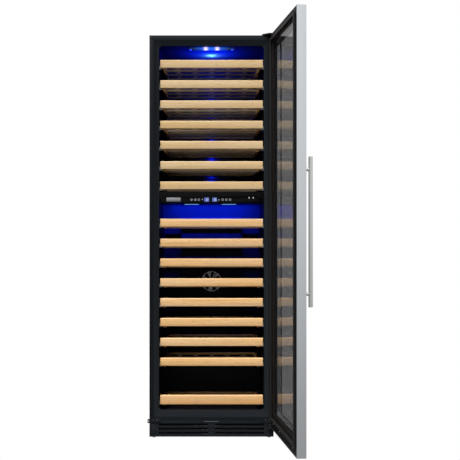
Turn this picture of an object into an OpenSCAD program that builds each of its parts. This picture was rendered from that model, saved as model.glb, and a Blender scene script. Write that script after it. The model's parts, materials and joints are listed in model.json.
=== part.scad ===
// Tall dual-zone wine cooler: an insulated case on levelling feet, a glazed door on two
// pivot hinges, sixteen pull-out wooden shelves, a control panel between the two zones,
// and the fans, cooling plates and compressor that serve them.
// Millimetres. +X is to the right, +Y to the back, +Z up. The origin is on the floor,
// under the centre of the case. The door stands open at rest.

/* [Case] */
// Width of the case
case_w = 595; // [490:1:720]
// Height of the case, without its feet
case_h = 1923; // [1600:1:2320]
// Depth of the case, without the door
case_d = 590; // [560:1:710]
// Gap between the floor and the case, filled by the feet
foot_gap = 8; // [7:0.5:20]
// Thickness of the case sheets
sheet_t = 1; // [0.6:0.1:2]
// Thickness of the plastic liners
liner_t = 2; // [1:0.5:3]
// Depth of the cavity, from the front plane to its back wall
cavity_d = 510; // [480:1:525]

/* [Front frame] */
// Width of the frame at each side of the opening
frame_side = 46; // [42:1:60]
// Height of the frame above the opening
frame_top = 50; // [42:1:80]
// Height of the frame below the opening
frame_bottom = 55; // [50:1:90]
// Thickness of the frame
frame_t = 3; // [2:0.5:4]
// Corner radius of the opening
opening_r = 20; // [5:1:40]
// Width of the raised border round the frame
border_w = 24; // [15:1:32]
// Step from the border down to the gasket land
land_step = 1; // [0.5:0.1:1.5]

/* [Zones] */
// Height of the upper zone
upper_h = 700; // [560:1:760]
// Height of the divider between the zones
divider_h = 53; // [46:1:80]

/* [Machine compartment] */
// Depth of the machine compartment, from the back
bay_d = 200; // [190:1:240]
// Height of the machine compartment, above the base plate
bay_h = 272; // [250:1:320]
// Thickness of the insulation round the machine compartment
bay_wall = 38; // [25:1:50]
// Height of the free air path under the cavity
air_path_h = 74; // [68:1:90]

/* [Toe kick] */
// Height of the toe kick
toe_h = 73; // [66:1:100]
// Thickness of the toe kick
toe_t = 4; // [3:0.5:8]
// Height of an air slot
slot_h = 11; // [5:1:12]
// Spacing of the air slots
slot_pitch = 20; // [16:1:24]
// Width of the centre pillar
pillar_w = 34; // [20:1:60]

/* [Shelves] */
// Clearance between a shelf front and the opening, each side
front_gap = 5; // [3:0.5:8]
// Height of a shelf front
front_h = 38.5; // [30:0.5:42]
// Height of the lowest shelf front
low_front_h = 45; // [35:0.5:50]
// Thickness of a shelf front
front_t = 18; // [12:1:24]
// How far the shelf fronts stand behind the front plane
front_inset = 15; // [12:1:30]
// Gap between the back of a shelf and the air duct
shelf_back_gap = 8; // [5:1:30]
// Width of a side rail
rail_w = 14; // [10:1:18]
// Height of a side rail
rail_h = 12; // [10:1:16]
// How far the side rails hang below the shelf front
rail_drop = 7; // [4:1:9]
// Width of a cradle slat
slat_w = 25; // [18:1:40]
// Height of a cradle slat
slat_h = 10; // [8:1:12]
// Height of the ridges between the bottles
ridge_h = 12; // [6:1:15]
// Width of a ridge
ridge_w = 24; // [12:1:30]
// Bottles side by side on a shelf
bottles = 6; // [3:1:8]

/* [Slides] */
// Height of the fixed slide channel
slide_h = 18; // [14:1:20]
// Depth of the fixed slide channel
slide_w = 9; // [7:1:12]
// Thickness of the channel's steel
slide_t = 1.2; // [0.8:0.1:2]
// Clearance between the runner and its channel
slide_gap = 0.5; // [0.3:0.1:1]

/* [Door] */
// How far the door stands open at rest, in degrees
door_rest = 96.7; // [0:0.1:115]
// Thickness of the door
door_t = 41; // [36:1:50]
// Gap between the closed door and the front plane
door_gap = 10; // [8:0.5:14]
// How far the door reaches past each side of the case
door_over = 1.5; // [0:0.5:4]
// How far the door rises above the case
door_above = 1; // [0:1:14]
// Height of the door's lower edge above the floor
door_bottom = 55; // [50:1:80]
// Width of the steel border at the sides of the glass
door_side = 79; // [60:1:100]
// Height of the steel border above the glass
door_top = 50; // [40:1:100]
// Height of the steel border below the glass
door_low = 83; // [60:1:120]
// Thickness of the steel
door_sheet = 2; // [1:0.5:3]
// Thickness of one glass pane
glass_t = 4; // [3:1:6]
// Gap between the panes
glass_gap = 27; // [10:1:28]
// How far the glass runs behind the border
glass_lap = 22; // [15:1:30]
// Width of the spacer between the panes
spacer_w = 12; // [6:1:14]
// Width of the gasket
gasket_w = 12; // [8:1:14]
// Clearance between the gasket and the front plane
gasket_gap = 0.5; // [0.2:0.1:1]

/* [Hinges] */
// Distance from the pivot to the door's edge
pivot_edge = 8; // [7:0.5:14]
// Distance from the front plane to the pivot
pivot_out = 18; // [16:0.5:24]
// Radius of a pivot pin
pin_r = 4; // [3:0.5:5]
// Running clearance of a pivot pin in the door
pin_gap = 0.06; // [0.02:0.01:0.1]
// Thickness of the hinge plates
plate_t = 3; // [2:0.5:4]

/* [Handle] */
// Length of the handle bar
bar_l = 632; // [300:1:900]
// Radius of the handle bar
bar_r = 9.5; // [6:0.5:14]
// Distance from the door's face to the bar's centre
bar_out = 28.5; // [25:0.5:50]
// Distance from the free edge to the bar's centre
bar_edge = 48; // [30:1:70]
// Height of the bar's centre above the floor
bar_z = 992; // [700:1:1300]
// Spacing of the handle posts
post_pitch = 522; // [200:1:600]
// Radius of a handle post
post_r = 7; // [5:0.5:8]

/* [Controls] */
// Thickness of the control panel's face
panel_t = 3; // [2.5:0.5:4]
// Depth of the housing behind the face
panel_d = 20; // [14:1:30]
// Radius of a key
key_r = 5.5; // [4:0.5:6]
// Clearance round a key
key_gap = 0.3; // [0.2:0.1:0.5]
// Width of a display window
window_w = 23; // [15:1:25]
// Height of a display window
window_h = 20; // [14:1:30]

/* [Feet] */
// Radius of a foot pad
pad_r = 9; // [8:0.5:12]
// Height of a foot pad
pad_h = 6; // [4:0.5:6.5]
// Radius of the foot's screw
stem_r = 5; // [4:0.5:6]
// Distance from the case sides to the foot axis
foot_side = 20.5; // [16:0.5:24]
// Distance from the case's front and back to the foot axis
foot_end = 30; // [25:1:60]

/* [Cooling] */
// Radius of a zone fan
zone_fan_r = 50; // [35:1:55]
// Radius of the condenser fan
bay_fan_r = 60; // [45:1:62]
// Depth of an air duct
duct_d = 32; // [30:1:40]
// Width of an air duct
duct_w = 320; // [250:1:360]
// Gap between an air duct and the ends of its zone
duct_end = 60; // [40:1:80]
// Radius of the compressor
pump_r = 68; // [55:1:72]
// Height of the compressor's shell
pump_h = 165; // [120:1:175]

/* [Hidden] */
$fn = 48;
eps = 0.01;
joint = 0.2;
y_front = -case_d/2;
y_back = case_d/2;
z_case = foot_gap;
z_top = foot_gap + case_h;
x_skin = case_w/2 - sheet_t;
x_in = case_w/2 - frame_side;
x_liner = x_in + liner_t;
z_toe = z_case + toe_h;
z_floor = z_toe + frame_bottom;
z_ceiling = z_top - frame_top;
z_upper = z_ceiling - upper_h;
z_lower = z_upper - divider_h;
y_frame = y_front + frame_t;
y_wall = y_front + cavity_d;
y_sheet = y_back - sheet_t;
z_base = z_case + 2*sheet_t;
y_bay = y_back - bay_d;
z_bay = z_base + bay_h;
y_hump = y_bay - bay_wall - liner_t;
z_hump = z_bay + bay_wall + liner_t;
y_duct = y_wall - duct_d;
x_foot = case_w/2 - foot_side;
y_foot = case_d/2 - foot_end;
stem_h = 40;
well_r = stem_r + 3;
well_h = stem_h + 16;

// Shelves
upper_count = 7;
lower_count = 8;
shelf_count = upper_count + lower_count + 1;
upper_first = 65;
upper_last = 50.5;
lower_first = 76;
lower_last = 247;
low_shelf_z = 23;
upper_pitch = (upper_h - upper_first - upper_last)/(upper_count - 1);
lower_pitch = (z_lower - z_floor - lower_first - lower_last)/(lower_count - 1);
front_w = 2*(x_in - front_gap);
y_shelf = y_front + front_inset;
y_rails = y_shelf + front_t + joint;
shelf_end = y_duct - shelf_back_gap;
low_shelf_end = y_hump - 15;
runner_h = slide_h - 2*slide_t - 2*slide_gap;
x_channel = x_in - slide_w;
runner_arm = 9.5;
x_rail = x_channel - rail_w - runner_arm;
slide_z = 12;
slide_short = 4;
cradle = front_w/bottles;
slat_inset = 62;
ridge_top = 4;

// Door
door_w = case_w + 2*door_over;
x_door = door_w/2;
z_door = z_top + door_above;
y_inner = y_front - door_gap;
y_outer = y_inner - door_t;
x_glass = x_door - door_side;
z_glass_low = door_bottom + door_low;
z_glass_top = z_door - door_top;
x_unit = x_glass + glass_lap;
y_pane_out = y_outer + door_sheet;
y_pane_in = y_pane_out + glass_t + glass_gap;
y_unit = y_pane_in + glass_t;
y_gasket = y_front - gasket_gap;
gasket_in = 36;
gasket_low = 44;
gasket_top = 26;
pivot = [x_door - pivot_edge, y_front - pivot_out, 0];

// Hinges and fixings
pin_up = 17;
hinge_play = 1.5;
z_tongue = z_door + hinge_play;
tongue_t = 4;
z_bracket = door_bottom - hinge_play - tongue_t;
hinge_w = 54;
x_hinge = x_skin - hinge_w;
hinge_back = 62;
hinge_set = 2;
riser_t = 4;
tongue_w = 20;
tongue_out = 10;
bracket_arm_w = 24;
bracket_w = 32;
screw_r = 2;
screw_hole_r = screw_r + 0.1;
head_r = 4.2;
head_h = 2.2;
screw_room = 6;
top_screws = [[x_hinge + 10, y_front + 48], [x_hinge + 27, y_front + 30], [x_hinge + 44, y_front + 48]];
bracket_screws = [[x_skin - 24, z_base + 10], [x_skin - 10, z_base + 10]];
lug_t = 1.5;
lug_h = 19;
lug_w = 66;
lug_out = 9;
z_lug = z_toe - 7;
lug_screw_z = z_lug + 13;
lug_screws = [case_w/2 - 20, case_w/2 - 38];
niche_r = 2.25;
x_niche = case_w/2 + lug_out/2;
toe_screw_x = case_w/2 - 18;
toe_screw_z = (z_bracket + tongue_t + z_lug)/2;
z_cover = z_bay + 18;
cover_margin = 12;
cover_screws = [for (x = [-1, 1], z = [z_base + cover_margin, z_bay/2, z_cover - cover_margin + 2])
    [x*(x_skin - cover_margin), z]];
cover_slot = [28, 8];
cover_pitch = [40, 24];
cover_slots_x = [-220, 140];
cover_slots_z = [z_base + 40, z_bay - 20];

// Controls
z_keys = z_lower + 16;
key_x = [-96, -78, -61, 53, 71, 89];
flange_r = key_r + 1.5;
flange_t = 1.5;
key_proud = 0.8;
key_l = 9;
dot_rise = 9;
window_x = [-23.5, 14.8];
window_t = 1;
arrow_x = [-43.6, 35];
arrow_r = 4;
dot_x = [180, 200];
dot_r = 3.5;
housing_w = 300;
badge_x = -182;
badge_w = 68;
badge_h = 19;
y_panel = y_front + panel_t;

// Cooling
wall_t = 2;
z_upper_fan = (z_upper + z_ceiling)/2;
z_lower_fan = (z_hump + z_lower)/2;
boss_r = 13;
boss_l = 6;
shaft_r = 2;
shaft_gap = 0.05;
guard_lap = 2;
spoke_w = 4;
shroud_t = 3;
fan_play = 2;
fan_depth = 12;
blades = 7;
cold_w = 280;
cold_h = min(420, z_lower - z_hump - 2*duct_end - 2*wall_t - 10);
cold_t = 2.5;
cold_gap = 0.5;
cold_tubes = 7;
tube_r = 3;
tube_short = 15;
hole_gap = 4;
guard_rings = [0.55, 0.8];
guard_t = 3;
duct_slot = [44, 8];
duct_slots_x = [-120, -60, 0, 60, 120];
duct_slots_z = [22, 40];
blade_t = 1.5;
blade_l = 16;
blade_tilt = 35;
shroud = 2*(bay_fan_r + 15);
bay_fan_x = -x_liner + 14 + shroud/2;
bay_fan_z = z_base + 4 + shroud/2;
y_shroud = y_bay + 30;
y_coil = y_shroud + 30;
coil_d = 110;
coil_w = 140;
coil_fins = 14;
coil_rise = 6;
fin_t = 1;
coil_inset = 18;
coil_row_inset = 25;
coil_frame = 4;
coil_frame_t = 2;
pump_x = x_liner/2 + 6;
pump_y = y_bay + bay_d/2;
pump_foot = 14;
z_pump = z_base + pump_foot;
pump_edge = 28;
foot_plate = [2*pump_r + 44, 90, 3];
mount_at = [pump_r + 12, 33];
mount_r = 9;
mount_hole_r = 5;
relay = [26, 40, 45];
relay_z = 50;
tray = [160, 120, 22];
tray_t = 2;
inlet_w = 48;
inlet_h = 30;
inlet_d = 25;
inlet_x = x_liner - 12 - inlet_w/2;
inlet_z = z_base + 40;
socket = [26, 18];
socket_d = 18;
blade_pin = [2, 4];
pin_pitch = 7;
pin_z = [-5, 2, -5];
pin_short = 3;
y_lamp = y_front + 34;
lamp_w = 220;
lamp_d = 34;
lamp_t = 9;
lens_x = [-100, -28, 28, 100];
lens_r = 4;
lens_h = 2;
strip_w = 75;
strip_d = 20;
strip_t = 7;
strip_x = [-96, 84];

function two(i) = i < 10 ? str("0", i) : str(i);
function shelf_name(i) = str("shelf_", two(i + 1));
// Height of a shelf front's lower edge; shelves are counted from the top
function shelf_z(i) =
    i < upper_count ? z_ceiling - upper_first - i*upper_pitch - front_h
    : i < upper_count + lower_count ? z_lower - lower_first - (i - upper_count)*lower_pitch - front_h
    : z_floor + low_shelf_z;
function shelf_front(i) = i < shelf_count - 1 ? front_h : low_front_h;
function shelf_back(i) = i < shelf_count - 1 ? shelf_end : low_shelf_end;

black = [0.09, 0.10, 0.11];
steel = [0.72, 0.73, 0.74];
zinc = [0.55, 0.56, 0.58];
wood = [0.87, 0.70, 0.48];

// ---- Shape helpers ----

// A box from its limits
module slab(x0, x1, y0, y1, z0, z1) {
    translate([x0, y0, z0]) cube([x1 - x0, y1 - y0, z1 - z0]);
}

// Extrudes an X-Z outline from y0 back to y1
module along_y(y0, y1) {
    translate([0, y1, 0]) rotate([90, 0, 0]) linear_extrude(y1 - y0) children();
}

// Extrudes a Y-Z outline from x0 to x1
module along_x(x0, x1) {
    translate([x0, 0, 0]) rotate([90, 0, 90]) linear_extrude(x1 - x0) children();
}

// A flat rectangle from its limits
module sheet(x0, x1, z0, z1) {
    translate([x0, z0]) square([x1 - x0, z1 - z0]);
}

// A rectangle with round corners, with true arcs
module round_sheet(x0, x1, z0, z1, r) {
    sheet(x0 + r, x1 - r, z0, z1);
    sheet(x0, x1, z0 + r, z1 - r);
    for (x = [x0 + r, x1 - r], z = [z0 + r, z1 - r]) translate([x, z]) circle(r);
}

// A rectangular ring from its outer limits, w wide
module ring(x0, x1, z0, z1, w) {
    difference() {
        sheet(x0, x1, z0, z1);
        sheet(x0 + w, x1 - w, z0 + w, z1 - w);
    }
}

// A round bar along Y
module bar_y(x, z, r, y0, y1) {
    translate([x, y1, z]) rotate([90, 0, 0]) cylinder(r = r, h = y1 - y0);
}

// Puts a closed-door shape where the open door has it
module on_door() {
    translate(pivot) rotate([0, 0, door_rest]) translate(-pivot) children();
}

// A pan-head screw that points down, its head seated at z = 0
module screw(l) {
    cylinder(r = head_r, h = head_h);
    translate([0, 0, -l]) cylinder(r = screw_r, h = l + eps);
}

module screw_back(x, y, z, l) {
    translate([x, y, z]) rotate([90, 0, 0]) screw(l);
}

// ---- Case ----

module outer_case() {
    color(black) difference() {
        slab(-case_w/2, case_w/2, y_front, y_back, z_case, z_top);
        slab(-x_skin, x_skin, y_front - 1, y_back + 1, z_case - 1, z_top - sheet_t);
        for (p = top_screws)
            translate([p[0], p[1], z_top - sheet_t - 1]) cylinder(r = screw_hole_r, h = sheet_t + 2);
    }
}

module back_panel() {
    color(black) slab(-x_skin, x_skin, y_sheet, y_back, z_cover, z_top - sheet_t);
}

module base_plate() {
    color(zinc) difference() {
        slab(-x_skin, x_skin, y_front, y_sheet, z_case, z_base);
        for (x = [-x_foot, x_foot], y = [-y_foot, y_foot])
            translate([x, y, z_case - 1]) cylinder(r = stem_r + 0.05, h = 2*sheet_t + 2);
    }
}

// The foam is cast in one pour; its slabs meet at hairline joints
module insulation_foam() {
    x_foam = x_liner - joint;
    color([0.93, 0.88, 0.70]) {
        for (s = [-1, 1]) difference() {
            slab(min(s*x_liner, s*x_skin), max(s*x_liner, s*x_skin), y_frame, y_sheet, z_base,
                 z_top - sheet_t);
            slab(min(s*x_foam, s*case_w/2), max(s*x_foam, s*case_w/2), y_front, y_front + toe_t + joint,
                 z_case, z_toe + joint);
            for (y = [-y_foot, y_foot])
                translate([s*x_foot, y, z_base - 1]) cylinder(r = well_r, h = well_h);
            for (p = top_screws)
                translate([p[0], p[1], z_top - sheet_t - screw_room])
                    cylinder(r = screw_r + 1, h = screw_room + 1);
        }
        slab(-x_foam, x_foam, y_wall + liner_t, y_sheet, z_hump - liner_t, z_top - sheet_t);
        slab(-x_foam, x_foam, y_frame, y_wall + liner_t - joint, z_ceiling + liner_t, z_top - sheet_t);
        slab(-x_foam, x_foam, y_front + panel_d + joint, y_wall + liner_t - joint,
             z_lower + liner_t, z_upper - liner_t);
        slab(-x_foam, x_foam, y_frame, y_hump + liner_t - joint, z_base + air_path_h, z_floor - liner_t);
        slab(-x_foam, x_foam, y_hump + liner_t, y_bay, z_base + air_path_h, z_bay - joint);
        slab(-x_foam, x_foam, y_hump + liner_t, y_sheet, z_bay, z_hump - liner_t - joint);
    }
}

module upper_liner() {
    color(black) difference() {
        slab(-x_liner, x_liner, y_frame, y_wall + liner_t, z_upper - liner_t, z_ceiling + liner_t);
        slab(-x_in, x_in, y_frame - 1, y_wall, z_upper, z_ceiling);
    }
}

// Side outline of the lower cavity, with its step over the machine compartment;
// g grows it outwards by the liner's thickness, and y0 is its open front
module lower_outline(g, y0) {
    polygon([[y0, z_floor - g], [y_hump + g, z_floor - g], [y_hump + g, z_hump - g],
             [y_wall + g, z_hump - g], [y_wall + g, z_lower + g], [y0, z_lower + g]]);
}

module lower_liner() {
    color(black) difference() {
        along_x(-x_liner, x_liner) lower_outline(liner_t, y_frame);
        along_x(-x_in, x_in) lower_outline(0, y_frame - 1);
    }
}

module front_frame() {
    color(black) difference() {
        along_y(y_front, y_frame) difference() {
            sheet(-x_skin, x_skin, z_toe, z_top - sheet_t);
            round_sheet(-x_in, x_in, z_floor, z_ceiling, opening_r);
        }
        along_y(y_front - 1, y_front + land_step)
            sheet(-case_w/2 + border_w, case_w/2 - border_w, z_toe + border_w, z_top - border_w);
        for (s = [-1, 1], x = lug_screws) bar_y(s*x, lug_screw_z, screw_hole_r, y_front - 1, y_frame + 1);
    }
}

module toe_kick_grille() {
    slot_out = x_liner;
    z_slots = z_base + 16;
    color(black) difference() {
        slab(-x_skin, x_skin, y_front, y_front + toe_t, z_base, z_toe);
        for (s = [-1, 1], i = [0:2])
            slab(min(s*pillar_w/2, s*slot_out), max(s*pillar_w/2, s*slot_out), y_front - 1,
                 y_front + toe_t + 1, z_slots + i*slot_pitch - slot_h/2, z_slots + i*slot_pitch + slot_h/2);
        for (p = bracket_screws) bar_y(p[0], p[1], screw_hole_r, y_front - 1, y_front + toe_t + 1);
        for (s = [-1, 1]) bar_y(s*toe_screw_x, toe_screw_z, screw_hole_r, y_front - 1, y_front + toe_t + 1);
    }
}

module niche_lugs() {
    color(black) for (s = [-1, 1]) difference() {
        slab(min(s*(case_w/2 + lug_out), s*(case_w/2 + lug_out - lug_w)),
             max(s*(case_w/2 + lug_out), s*(case_w/2 + lug_out - lug_w)),
             y_front - lug_t, y_front, z_lug, z_lug + lug_h);
        for (x = lug_screws) bar_y(s*x, lug_screw_z, screw_hole_r, y_front - lug_t - 1, y_front + 1);
        bar_y(s*x_niche, z_lug + lug_h/2, niche_r, y_front - lug_t - 1, y_front + 1);
    }
}

module compartment_cover() {
    color(zinc) difference() {
        slab(-x_skin, x_skin, y_sheet, y_back, z_base, z_cover);
        for (x = [cover_slots_x[0]:cover_pitch[0]:cover_slots_x[1]],
             z = [cover_slots_z[0]:cover_pitch[1]:cover_slots_z[1]])
            slab(x, x + cover_slot[0], y_sheet - 1, y_back + 1, z, z + cover_slot[1]);
        slab(inlet_x - inlet_w/2, inlet_x + inlet_w/2, y_sheet - 1, y_back + 1,
             inlet_z - inlet_h/2, inlet_z + inlet_h/2);
        for (p = cover_screws) bar_y(p[0], p[1], screw_hole_r, y_sheet - 1, y_back + 1);
    }
}

module cabinet_screws() {
    color(steel) {
        for (p = top_screws) translate([p[0], p[1], z_top + plate_t]) screw(plate_t + sheet_t);
        for (p = bracket_screws) screw_back(p[0], y_front - plate_t, p[1], plate_t + toe_t);
        for (s = [-1, 1]) screw_back(s*toe_screw_x, y_front, toe_screw_z, toe_t);
        for (s = [-1, 1], x = lug_screws) screw_back(s*x, y_front - lug_t, lug_screw_z, lug_t + frame_t);
        for (p = cover_screws)
            translate([p[0], y_back, p[1]]) rotate([-90, 0, 0]) screw(sheet_t);
    }
}

// ---- Hinges ----

// A bent plate on the case, with a tongue over the door that carries the upper pin
module top_hinge() {
    y_hinge = y_front + hinge_set;
    color(zinc) difference() {
        union() {
            slab(x_hinge, x_skin, y_hinge, y_front + hinge_back, z_top, z_top + plate_t);
            slab(x_hinge, x_skin, y_hinge, y_hinge + riser_t, z_top, z_tongue + tongue_t);
            translate([0, 0, z_tongue]) linear_extrude(tongue_t)
                polygon([[x_hinge, y_hinge + 1], [x_skin, y_hinge + 1], [x_skin, pivot[1] - tongue_out],
                         [x_skin - tongue_w, pivot[1] - tongue_out]]);
            translate([pivot[0], pivot[1], z_tongue - pin_up]) cylinder(r = pin_r, h = pin_up + eps);
        }
        for (p = top_screws) translate([p[0], p[1], z_top - 1]) cylinder(r = screw_hole_r, h = plate_t + 2);
    }
}

// A bracket on the toe kick, with the lower pin under the door
module bottom_hinge() {
    color(zinc) difference() {
        union() {
            slab(x_skin - bracket_w, x_skin, y_front - plate_t, y_front, z_base + 2, z_bracket + tongue_t);
            slab(x_skin - bracket_arm_w, x_skin, pivot[1] - tongue_out, y_front - plate_t + eps,
                 z_bracket, z_bracket + tongue_t);
            translate([pivot[0], pivot[1], z_bracket]) cylinder(r = pin_r, h = tongue_t + pin_up);
        }
        for (p = bracket_screws) bar_y(p[0], p[1], screw_hole_r, y_front - plate_t - 1, y_front + 1);
    }
}

// The running holes for both pins
module pin_holes() {
    for (z = [door_bottom - 1, z_door - pin_up])
        translate([pivot[0], pivot[1], z]) cylinder(r = pin_r + pin_gap, h = pin_up + 1);
}

// ---- Door, drawn closed ----

module door_frame() {
    color(steel) on_door() difference() {
        slab(-x_door, x_door, y_outer, y_inner, door_bottom, z_door);
        slab(-x_door + door_sheet, x_door - door_sheet, y_pane_out, y_inner + 1,
             door_bottom + door_sheet, z_door - door_sheet);
        slab(-x_glass, x_glass, y_outer - 1, y_inner, z_glass_low, z_glass_top);
        pin_holes();
    }
}

module door_backframe() {
    x_out = x_door - door_sheet;
    z_out = [door_bottom + door_sheet, z_door - door_sheet];
    color(black) on_door() difference() {
        slab(-x_out, x_out, y_pane_out + glass_t, y_inner, z_out[0], z_out[1]);
        slab(-x_unit, x_unit, y_pane_out, y_unit, z_glass_low - glass_lap, z_glass_top + glass_lap);
        slab(-x_glass, x_glass, y_unit - 1, y_inner + 1, z_glass_low, z_glass_top);
        pin_holes();
    }
}

module outer_glass() {
    x_out = x_door - door_sheet;
    color([0.2, 0.2, 0.2, 0.5]) on_door()
        slab(-x_out + 1, x_out - 20, y_pane_out, y_pane_out + glass_t,
             door_bottom + door_sheet + 1, z_door - door_sheet - 1);
}

module inner_glass() {
    color([0.2, 0.2, 0.2, 0.5]) on_door()
        slab(-x_unit, x_unit, y_pane_in, y_unit, z_glass_low - glass_lap, z_glass_top + glass_lap);
}

module glass_spacer() {
    color(zinc) on_door() along_y(y_pane_out + glass_t, y_pane_in)
        ring(-x_unit, x_unit, z_glass_low - glass_lap, z_glass_top + glass_lap, spacer_w);
}

module door_gasket() {
    color(black) on_door() along_y(y_inner, y_gasket)
        ring(-x_door + gasket_in - gasket_w, x_door - gasket_in + gasket_w,
             door_bottom + gasket_low, z_door - gasket_top, gasket_w);
}

module handle_bar() {
    x = -x_door + bar_edge;
    color(steel) on_door() translate([x, y_outer - bar_out, bar_z - bar_l/2]) cylinder(r = bar_r, h = bar_l);
}

module handle_posts() {
    x = -x_door + bar_edge;
    color(steel) on_door() difference() {
        for (s = [-1, 1]) bar_y(x, bar_z + s*post_pitch/2, post_r, y_outer - bar_out, y_outer);
        translate([x, y_outer - bar_out, bar_z - bar_l/2]) cylinder(r = bar_r, h = bar_l);
    }
}

// ---- Controls and lamps ----

// Everything that is let into the panel's face, g larger all round
module face_inserts(g, y1) {
    for (x = window_x)
        slab(x - window_w/2 - g, x + window_w/2 + g, y_front, y1, z_keys - window_h/2 - g,
             z_keys + window_h/2 + g);
    for (i = [0, 1])
        along_y(y_front, y1) translate([arrow_x[i], z_keys]) rotate(90 - 180*i) circle(arrow_r + g, $fn = 3);
    for (x = dot_x) bar_y(x, z_keys + dot_rise, dot_r + g, y_front, y1);
    slab(badge_x - badge_w/2 - g, badge_x + badge_w/2 + g, y_front, y1, z_keys - badge_h/2 - g,
         z_keys + badge_h/2 + g);
}

module control_panel() {
    color(black) difference() {
        union() {
            slab(-x_in, x_in, y_front, y_panel, z_lower, z_upper);
            slab(-housing_w/2, housing_w/2, y_panel - eps, y_front + panel_d, z_lower + liner_t + joint,
                 z_upper - liner_t - joint);
        }
        slab(-housing_w/2 + wall_t, housing_w/2 - wall_t, y_panel, y_front + panel_d - wall_t,
             z_lower + liner_t + wall_t + joint, z_upper - liner_t - wall_t - joint);
        for (x = key_x) bar_y(x, z_keys, key_r + key_gap, y_front - 1, y_panel + 1);
        translate([0, -eps, 0]) face_inserts(0, y_front + window_t + eps);
    }
}

module display_windows() {
    color([0.25, 0.45, 0.85]) face_inserts(0, y_front + window_t);
}

module key(i) {
    y_flange = y_panel + key_gap;
    color(black) {
        bar_y(key_x[i], z_keys, key_r, y_front - key_proud, y_front - key_proud + key_l);
        bar_y(key_x[i], z_keys, flange_r, y_flange, y_flange + flange_t);
    }
}

module interior_lamps() {
    color([0.6, 0.75, 1.0]) {
        slab(-lamp_w/2, lamp_w/2, y_lamp, y_lamp + lamp_d, z_ceiling - lamp_t, z_ceiling);
        for (x = lens_x)
            translate([x, y_lamp + lamp_d/2, z_ceiling - lamp_t - lens_h])
                cylinder(r = lens_r, h = lens_h + eps);
        for (x = strip_x)
            slab(x - strip_w/2, x + strip_w/2, y_lamp, y_lamp + strip_d, z_lower - strip_t, z_lower);
    }
}

// ---- Shelves ----

// A slat along X with a ridge between each two bottles
module slat(y, z) {
    half = x_rail - joint;
    slab(-half, half, y, y + slat_w, z, z + slat_h);
    for (k = [1:bottles - 1])
        translate([(k - bottles/2)*cradle, 0, z + slat_h - eps]) along_y(y, y + slat_w)
            polygon([[-ridge_w/2, 0], [ridge_w/2, 0], [ridge_top/2, ridge_h], [-ridge_top/2, ridge_h]]);
}

module shelf(i) {
    z = shelf_z(i);
    y1 = shelf_back(i);
    z_rail = z - rail_drop;
    span = y1 - rail_w - joint - (y_shelf + slat_inset) - slat_w;
    slats = i < shelf_count - 1 ? 3 : 2;
    color(wood) {
        slab(-front_w/2, front_w/2, y_shelf, y_shelf + front_t, z, z + shelf_front(i));
        for (s = [-1, 1])
            slab(min(s*x_rail, s*(x_rail + rail_w)), max(s*x_rail, s*(x_rail + rail_w)), y_rails, y1,
                 z_rail, z_rail + rail_h);
        slab(-x_rail + joint, x_rail - joint, y1 - rail_w, y1, z_rail, z_rail + rail_h);
        for (k = [0:slats - 1]) slat(y_shelf + slat_inset + k*span/slats, z_rail);
    }
    // Runners, let into the fixed channels
    color(zinc) for (s = [-1, 1]) {
        inner = x_rail + rail_w + joint;
        outer = x_in - slide_t - slide_gap;
        slab(min(s*inner, s*outer), max(s*inner, s*outer), y_rails, y1, z + slide_z - rail_drop - runner_h/2,
             z + slide_z - rail_drop + runner_h/2);
    }
}

// The fixed channels on the side walls, a pair for each shelf
module slide_rails() {
    color(zinc) for (i = [0:shelf_count - 1], s = [-1, 1]) {
        zc = shelf_z(i) + slide_z - rail_drop;
        y0 = y_rails + slide_short;
        y1 = shelf_back(i) - slide_short;
        difference() {
            slab(min(s*x_channel, s*x_in), max(s*x_channel, s*x_in), y0, y1, zc - slide_h/2, zc + slide_h/2);
            slab(min(s*(x_channel - 1), s*(x_in - slide_t)), max(s*(x_channel - 1), s*(x_in - slide_t)),
                 y0 - 1, y1 + 1, zc - slide_h/2 + slide_t, zc + slide_h/2 - slide_t);
        }
    }
}

// ---- Cooling ----

// A wall whose outline is the children, with a guarded fan hole of radius r: spokes let into
// the hole's rim, two rings, and a motor boss that stands behind the wall
module guarded_wall(x, z, r, y, t) {
    along_y(y, y + t) {
        difference() {
            children();
            translate([x, z]) circle(r);
        }
        translate([x, z]) {
            for (a = [0:60:120]) rotate(a) square([2*(r + guard_lap), spoke_w], center = true);
            for (k = guard_rings) difference() {
                circle(k*r + guard_t/2);
                circle(k*r - guard_t/2);
            }
            circle(boss_r);
        }
    }
    difference() {
        bar_y(x, z, boss_r, y + t - eps, y + t + boss_l);
        bar_y(x, z, shaft_r + shaft_gap, y + t, y + t + boss_l + 1);
    }
}

// An axial fan whose hub starts at y, on a shaft that reaches forward into its boss
module fan(x, y, z, r) {
    hub = 0.32*r;
    color([0.2, 0.2, 0.22]) translate([x, y, z]) {
        bar_y(0, 0, hub, 0, fan_depth);
        bar_y(0, 0, shaft_r, -fan_play - boss_l + 1, eps);
        for (a = [0:360/blades:359]) rotate([0, a, 0]) translate([hub - blade_t, fan_depth/2, 0])
            rotate([blade_tilt, 0, 0]) translate([0, -blade_t/2, -blade_l/2])
                cube([r - hub + blade_t, blade_t, blade_l]);
    }
}

// A shallow box on the back wall; air enters at its fan and leaves by its slots
module air_duct(z0, z1, z_fan) {
    along_y(y_duct + wall_t, y_wall) ring(-duct_w/2, duct_w/2, z0, z1, wall_t);
    slots_z = concat([for (d = duct_slots_z) z0 + d], [for (d = duct_slots_z) z1 - d - duct_slot[1] - 2]);
    guarded_wall(0, z_fan, zone_fan_r + hole_gap, y_duct, wall_t) difference() {
        sheet(-duct_w/2, duct_w/2, z0, z1);
        for (z = slots_z, x = duct_slots_x)
            sheet(x - duct_slot[0]/2, x + duct_slot[0]/2, z, z + duct_slot[1]);
    }
}

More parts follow.
